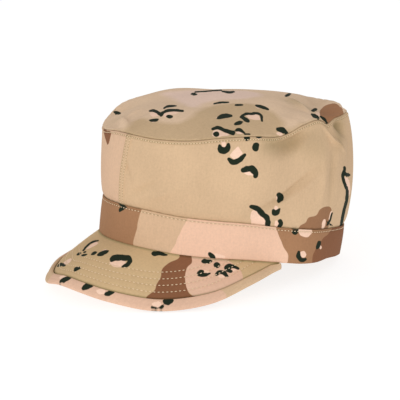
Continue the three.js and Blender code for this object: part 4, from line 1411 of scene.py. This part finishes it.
def printGroup():  # stacks the print's colours where each kind's distance is below nothing
    inputs = [("Ground", "NodeSocketColor", None), ("Edge", "NodeSocketFloat", 0.35)]
    for kind in printKinds:
        inputs.append((kind + " distance", "NodeSocketFloat", farOutside))
        inputs.append((kind + " colour", "NodeSocketColor", None))
    group, fromOutside, toOutside = newGroup("camoPrint", inputs, [("Color", "NodeSocketColor")])
    sockets = fromOutside.outputs
    result = sockets["Ground"]
    for kind in printKinds:
        ratio = mathNode(group, "DIVIDE", sockets[kind + " distance"], sockets["Edge"])
        share = mathNode(group, "SUBTRACT", 0.5, ratio)
        share = mathNode(group, "MINIMUM", mathNode(group, "MAXIMUM", share, 0.0), 1.0)
        result = mixColours(group, share, result, sockets[kind + " colour"])
    group.links.new(result, toOutside.inputs["Color"])
    return group


def weaveGroup():  # a fine twill on the flat cloth, with slubs; sizes are in millimetres
    inputs = [
        ("Cloth", "NodeSocketVector", None),
        ("Yarn", "NodeSocketFloat", 0.55),
        ("Slub", "NodeSocketFloat", 0.8),
    ]
    outputs = [("Height", "NodeSocketFloat"), ("Tone", "NodeSocketFloat")]
    group, fromOutside, toOutside = newGroup("twill", inputs, outputs)
    split = group.nodes.new("ShaderNodeSeparateXYZ")
    group.links.new(fromOutside.outputs["Cloth"], split.inputs[0])
    yarn, wave = fromOutside.outputs["Yarn"], mapUnit * 2 * math.pi
    x, y = (mathNode(group, "MULTIPLY", split.outputs[axis], wave) for axis in "XY")
    x, y = (mathNode(group, "DIVIDE", along, yarn) for along in (x, y))
    rib = mathNode(group, "SINE", mathNode(group, "MULTIPLY", mathNode(group, "ADD", x, y), 0.5))
    crossing = mathNode(group, "MULTIPLY", mathNode(group, "SINE", x), mathNode(group, "SINE", y))
    slubs = []
    for stretch, weight in (((900.0, 50.0, 1.0), 1.0), ((60.0, 900.0, 1.0), 0.35)):
        place = group.nodes.new("ShaderNodeMapping")
        place.inputs["Scale"].default_value = stretch
        group.links.new(fromOutside.outputs["Cloth"], place.inputs["Vector"])
        noise = group.nodes.new("ShaderNodeTexNoise")
        noise.inputs["Scale"].default_value = 0.2
        noise.inputs["Detail"].default_value = 2.0
        group.links.new(place.outputs[0], noise.inputs["Vector"])
        slubs.append(mathNode(group, "MULTIPLY_ADD", noise.outputs[0], weight, -0.5 * weight))
    slub = mathNode(group, "MULTIPLY", mathNode(group, "ADD", *slubs), fromOutside.outputs["Slub"])
    height = mathNode(group, "MULTIPLY_ADD", rib, 0.5, mathNode(group, "MULTIPLY", crossing, 0.3))
    group.links.new(mathNode(group, "MULTIPLY_ADD", slub, 2.0, height), toOutside.inputs["Height"])
    group.links.new(mathNode(group, "MULTIPLY_ADD", height, 0.12, slub), toOutside.inputs["Tone"])
    return group


def mottleGroup():  # uneven dye and wear at two sizes
    inputs = [
        ("Object", "NodeSocketVector", None),
        ("Broad", "NodeSocketFloat", 22.0),
        ("Fine", "NodeSocketFloat", 620.0),
    ]
    outputs = [("Broad", "NodeSocketFloat"), ("Fine", "NodeSocketFloat")]
    group, fromOutside, toOutside = newGroup("mottle", inputs, outputs)
    for name, detail in (("Broad", 2.0), ("Fine", 3.0)):
        noise = group.nodes.new("ShaderNodeTexNoise")
        noise.inputs["Detail"].default_value = detail
        group.links.new(fromOutside.outputs["Object"], noise.inputs["Vector"])
        group.links.new(fromOutside.outputs[name], noise.inputs["Scale"])
        group.links.new(mathNode(group, "SUBTRACT", noise.outputs[0], 0.5), toOutside.inputs[name])
    return group


camoPrint, twill, mottle = printGroup(), weaveGroup(), mottleGroup()
dyes = {
    "pink": (241, 199, 171),
    "tan": (209, 179, 142),
    "brown": (172, 128, 94),
    "umber": (142, 96, 68),
    "pale": (252, 214, 189),
    "chip": (37, 46, 34),
}
clothLook = {
    "shader": {"Roughness": 1.0, "Specular IOR Level": 0.08, "Sheen Weight": 0.02, "Sheen Roughness": 0.5},
    "weaveDepth": 0.06,
    "weaveStrength": 0.6,
    "toneReach": 0.16,
    "mottleReach": 0.26,
    # the tint of the painted shade in creases, folds and seams
    "shadeTint": (0.38, 0.42, 0.3, 1.0),
}


def newMaterial(name):
    material = bpy.data.materials.new(name)
    material.use_nodes = True
    return material, material.node_tree, material.node_tree.nodes["Principled BSDF"]


def setInputs(node, values):
    for name, value in values.items():
        node.inputs[name].default_value = value


def groupNode(tree, group):
    node = tree.nodes.new("ShaderNodeGroup")
    node.node_tree = group
    return node


def mottleNode(tree):
    coordinates = tree.nodes.new("ShaderNodeTexCoord")
    patchy = groupNode(tree, mottle)
    tree.links.new(coordinates.outputs["Object"], patchy.inputs["Object"])
    return patchy


def tonedColour(tree, base, tone):  # a colour made lighter or darker by a value
    grey = tree.nodes.new("ShaderNodeCombineColor")
    for socket in grey.inputs[:3]:
        tree.links.new(tone, socket)
    return mixColours(tree, 1.0, base, grey.outputs[0], "MULTIPLY")


def clothMaterial(name, ground, ownDyes, printed=True):
    material, tree, shader = newMaterial(name)
    uvMap = tree.nodes.new("ShaderNodeUVMap")
    uvMap.uv_map = "cloth"
    result = colour(*ground)
    if printed:
        camo = groupNode(tree, camoPrint)
        camo.inputs["Ground"].default_value = result
        for kind in printKinds:
            distance = tree.nodes.new("ShaderNodeAttribute")
            distance.attribute_name = kind
            tree.links.new(distance.outputs["Fac"], camo.inputs[kind + " distance"])
            camo.inputs[kind + " colour"].default_value = colour(*(dyes | ownDyes)[kind])
        result = camo.outputs["Color"]
    weave = groupNode(tree, twill)
    tree.links.new(uvMap.outputs["UV"], weave.inputs["Cloth"])
    patchy = mottleNode(tree)
    uneven = mathNode(tree, "MULTIPLY_ADD", patchy.outputs["Fine"], 0.8, patchy.outputs["Broad"])
    tone = mathNode(tree, "MULTIPLY", uneven, clothLook["mottleReach"])
    tone = mathNode(tree, "MULTIPLY_ADD", weave.outputs["Tone"], clothLook["toneReach"], tone)
    toned = tonedColour(tree, result, mathNode(tree, "ADD", tone, 1.0))
    # darkens the colour by the painted shade in creases, folds and seams
    creaseShade = tree.nodes.new("ShaderNodeAttribute")
    creaseShade.attribute_name = "creaseShade"
    shadeMultiplier = mixColours(tree, creaseShade.outputs["Fac"], (1.0, 1.0, 1.0, 1.0), clothLook["shadeTint"])
    tree.links.new(mixColours(tree, 1.0, toned, shadeMultiplier, "MULTIPLY"), shader.inputs["Base Color"])
    bump = tree.nodes.new("ShaderNodeBump")
    bump.inputs["Strength"].default_value = clothLook["weaveStrength"]
    bump.inputs["Distance"].default_value = clothLook["weaveDepth"] * mm
    tree.links.new(weave.outputs["Height"], bump.inputs["Height"])
    tree.links.new(bump.outputs["Normal"], shader.inputs["Normal"])
    setInputs(shader, clothLook["shader"])
    return material


def threadMaterial(name, base):
    material, tree, shader = newMaterial(name)
    patchy = mottleNode(tree)
    patchy.inputs["Fine"].default_value = 2500.0
    tone = mathNode(tree, "MULTIPLY_ADD", patchy.outputs["Fine"], 0.5, 1.0)
    tree.links.new(tonedColour(tree, colour(*base), tone), shader.inputs["Base Color"])
    shader.inputs["Roughness"].default_value = 0.7
    return material


# Each cloth's ground, and the dyes that differ on it.
clothColours = {
    "sideCloth": ((216, 184, 148), {"umber": (158, 116, 85)}),
    "rightSideCloth": ((224, 188, 157), {}),
    # the top's greyer pink is painted sheen of the top seen at a grazing angle
    "topCloth": ((232, 201, 170), {"pink": (241, 210, 191), "umber": (172, 124, 90)}),
    "bandCloth": ((219, 184, 150), {}),
    "billCloth": ((214, 183, 140), {"pink": (233, 192, 165)}),
    "lipCloth": ((217, 184, 149), {"pink": (228, 188, 161)}),
}
cloths = {name: clothMaterial(name, *colours) for name, colours in clothColours.items()}
lining = clothMaterial("lining", (205, 180, 150), {}, printed=False)
threadFinish = threadMaterial("thread", (240, 213, 178))

finishes = {
    crownSideLeft: ("side_cloth", cloths["sideCloth"], ("crown_side_left",)),
    crownSideRight: ("side_cloth", cloths["rightSideCloth"], ("crown_side_right",)),
    crownTop: ("top_cloth", cloths["topCloth"], ("crown_top",)),
    band: ("band_cloth", cloths["bandCloth"], ("band",)),
    billTop: ("bill_cloth", cloths["billCloth"], ("bill_top",)),
    billUnder: ("lip_cloth", cloths["lipCloth"], ("bill_under",)),
    crownStitches: ("side_cloth", threadFinish, ()),
    bandStitches: ("band_cloth", threadFinish, ()),
    billStitches: ("bill_cloth", threadFinish, ()),
}
for piece, (slot, material, nodes) in finishes.items():
    piece.data.materials.append(material)
    if piece.modifiers:
        piece.data.materials.append(lining)
    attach(piece, "root")
    if nodes:
        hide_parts(*nodes)

print("materials made")

# Floor, light and camera
studio = {
    "floorShade": 0.34,
    "floorGlow": 0.8,
    "floorDrop": 0.2,
    "world": 0.61,
    "keyPower": 6.6,
    "keySize": 1.0,
    "keyTurn": 39,
    "keyRise": 22,
    "keyDistance": 1.6,
}
floorGrid = bmesh.new()
bmesh.ops.create_grid(floorGrid, x_segments=1, y_segments=1, size=20)
floor = addObject("floor", meshFrom(floorGrid, "floor"))
floor.location.z = -studio["floorDrop"] * mm
floorFinish, _, floorShader = newMaterial("floor")
setInputs(floorShader, {
    "Base Color": (studio["floorShade"],) * 3 + (1,),
    "Roughness": 1,
    "Specular IOR Level": 0,
    "Emission Color": (1, 1, 1, 1),
    "Emission Strength": studio["floorGlow"],
})
floor.data.materials.append(floorFinish)

world = bpy.data.worlds.new("studio")
bpy.context.scene.world = world
world.use_nodes = True
setInputs(world.node_tree.nodes["Background"], {"Color": (1, 1, 1, 1), "Strength": studio["world"]})
bpy.context.scene.view_settings.view_transform = "Standard"

key = bpy.data.lights.new("key", "AREA")
key.energy = studio["keyPower"]
key.size = studio["keySize"]
keyObject = addObject("key", key)
back = lookingFrom(studio["keyTurn"], studio["keyRise"])
keyObject.location = target + back * studio["keyDistance"]
keyObject.rotation_euler = (-back).to_track_quat("-Z", "Y").to_euler()

camera = bpy.data.cameras.new("camera")
halfFrame = photoView["frame"] / photoView["pixelsPerMm"] / 2
camera.angle = 2 * math.atan(halfFrame / photoView["distance"])
cameraObject = addObject("camera", camera)
cameraObject.location = viewPoint
cameraObject.rotation_euler = (-viewBack).to_track_quat("-Z", "Y").to_euler()
bpy.context.scene.camera = cameraObject
print("floor, light and camera made")
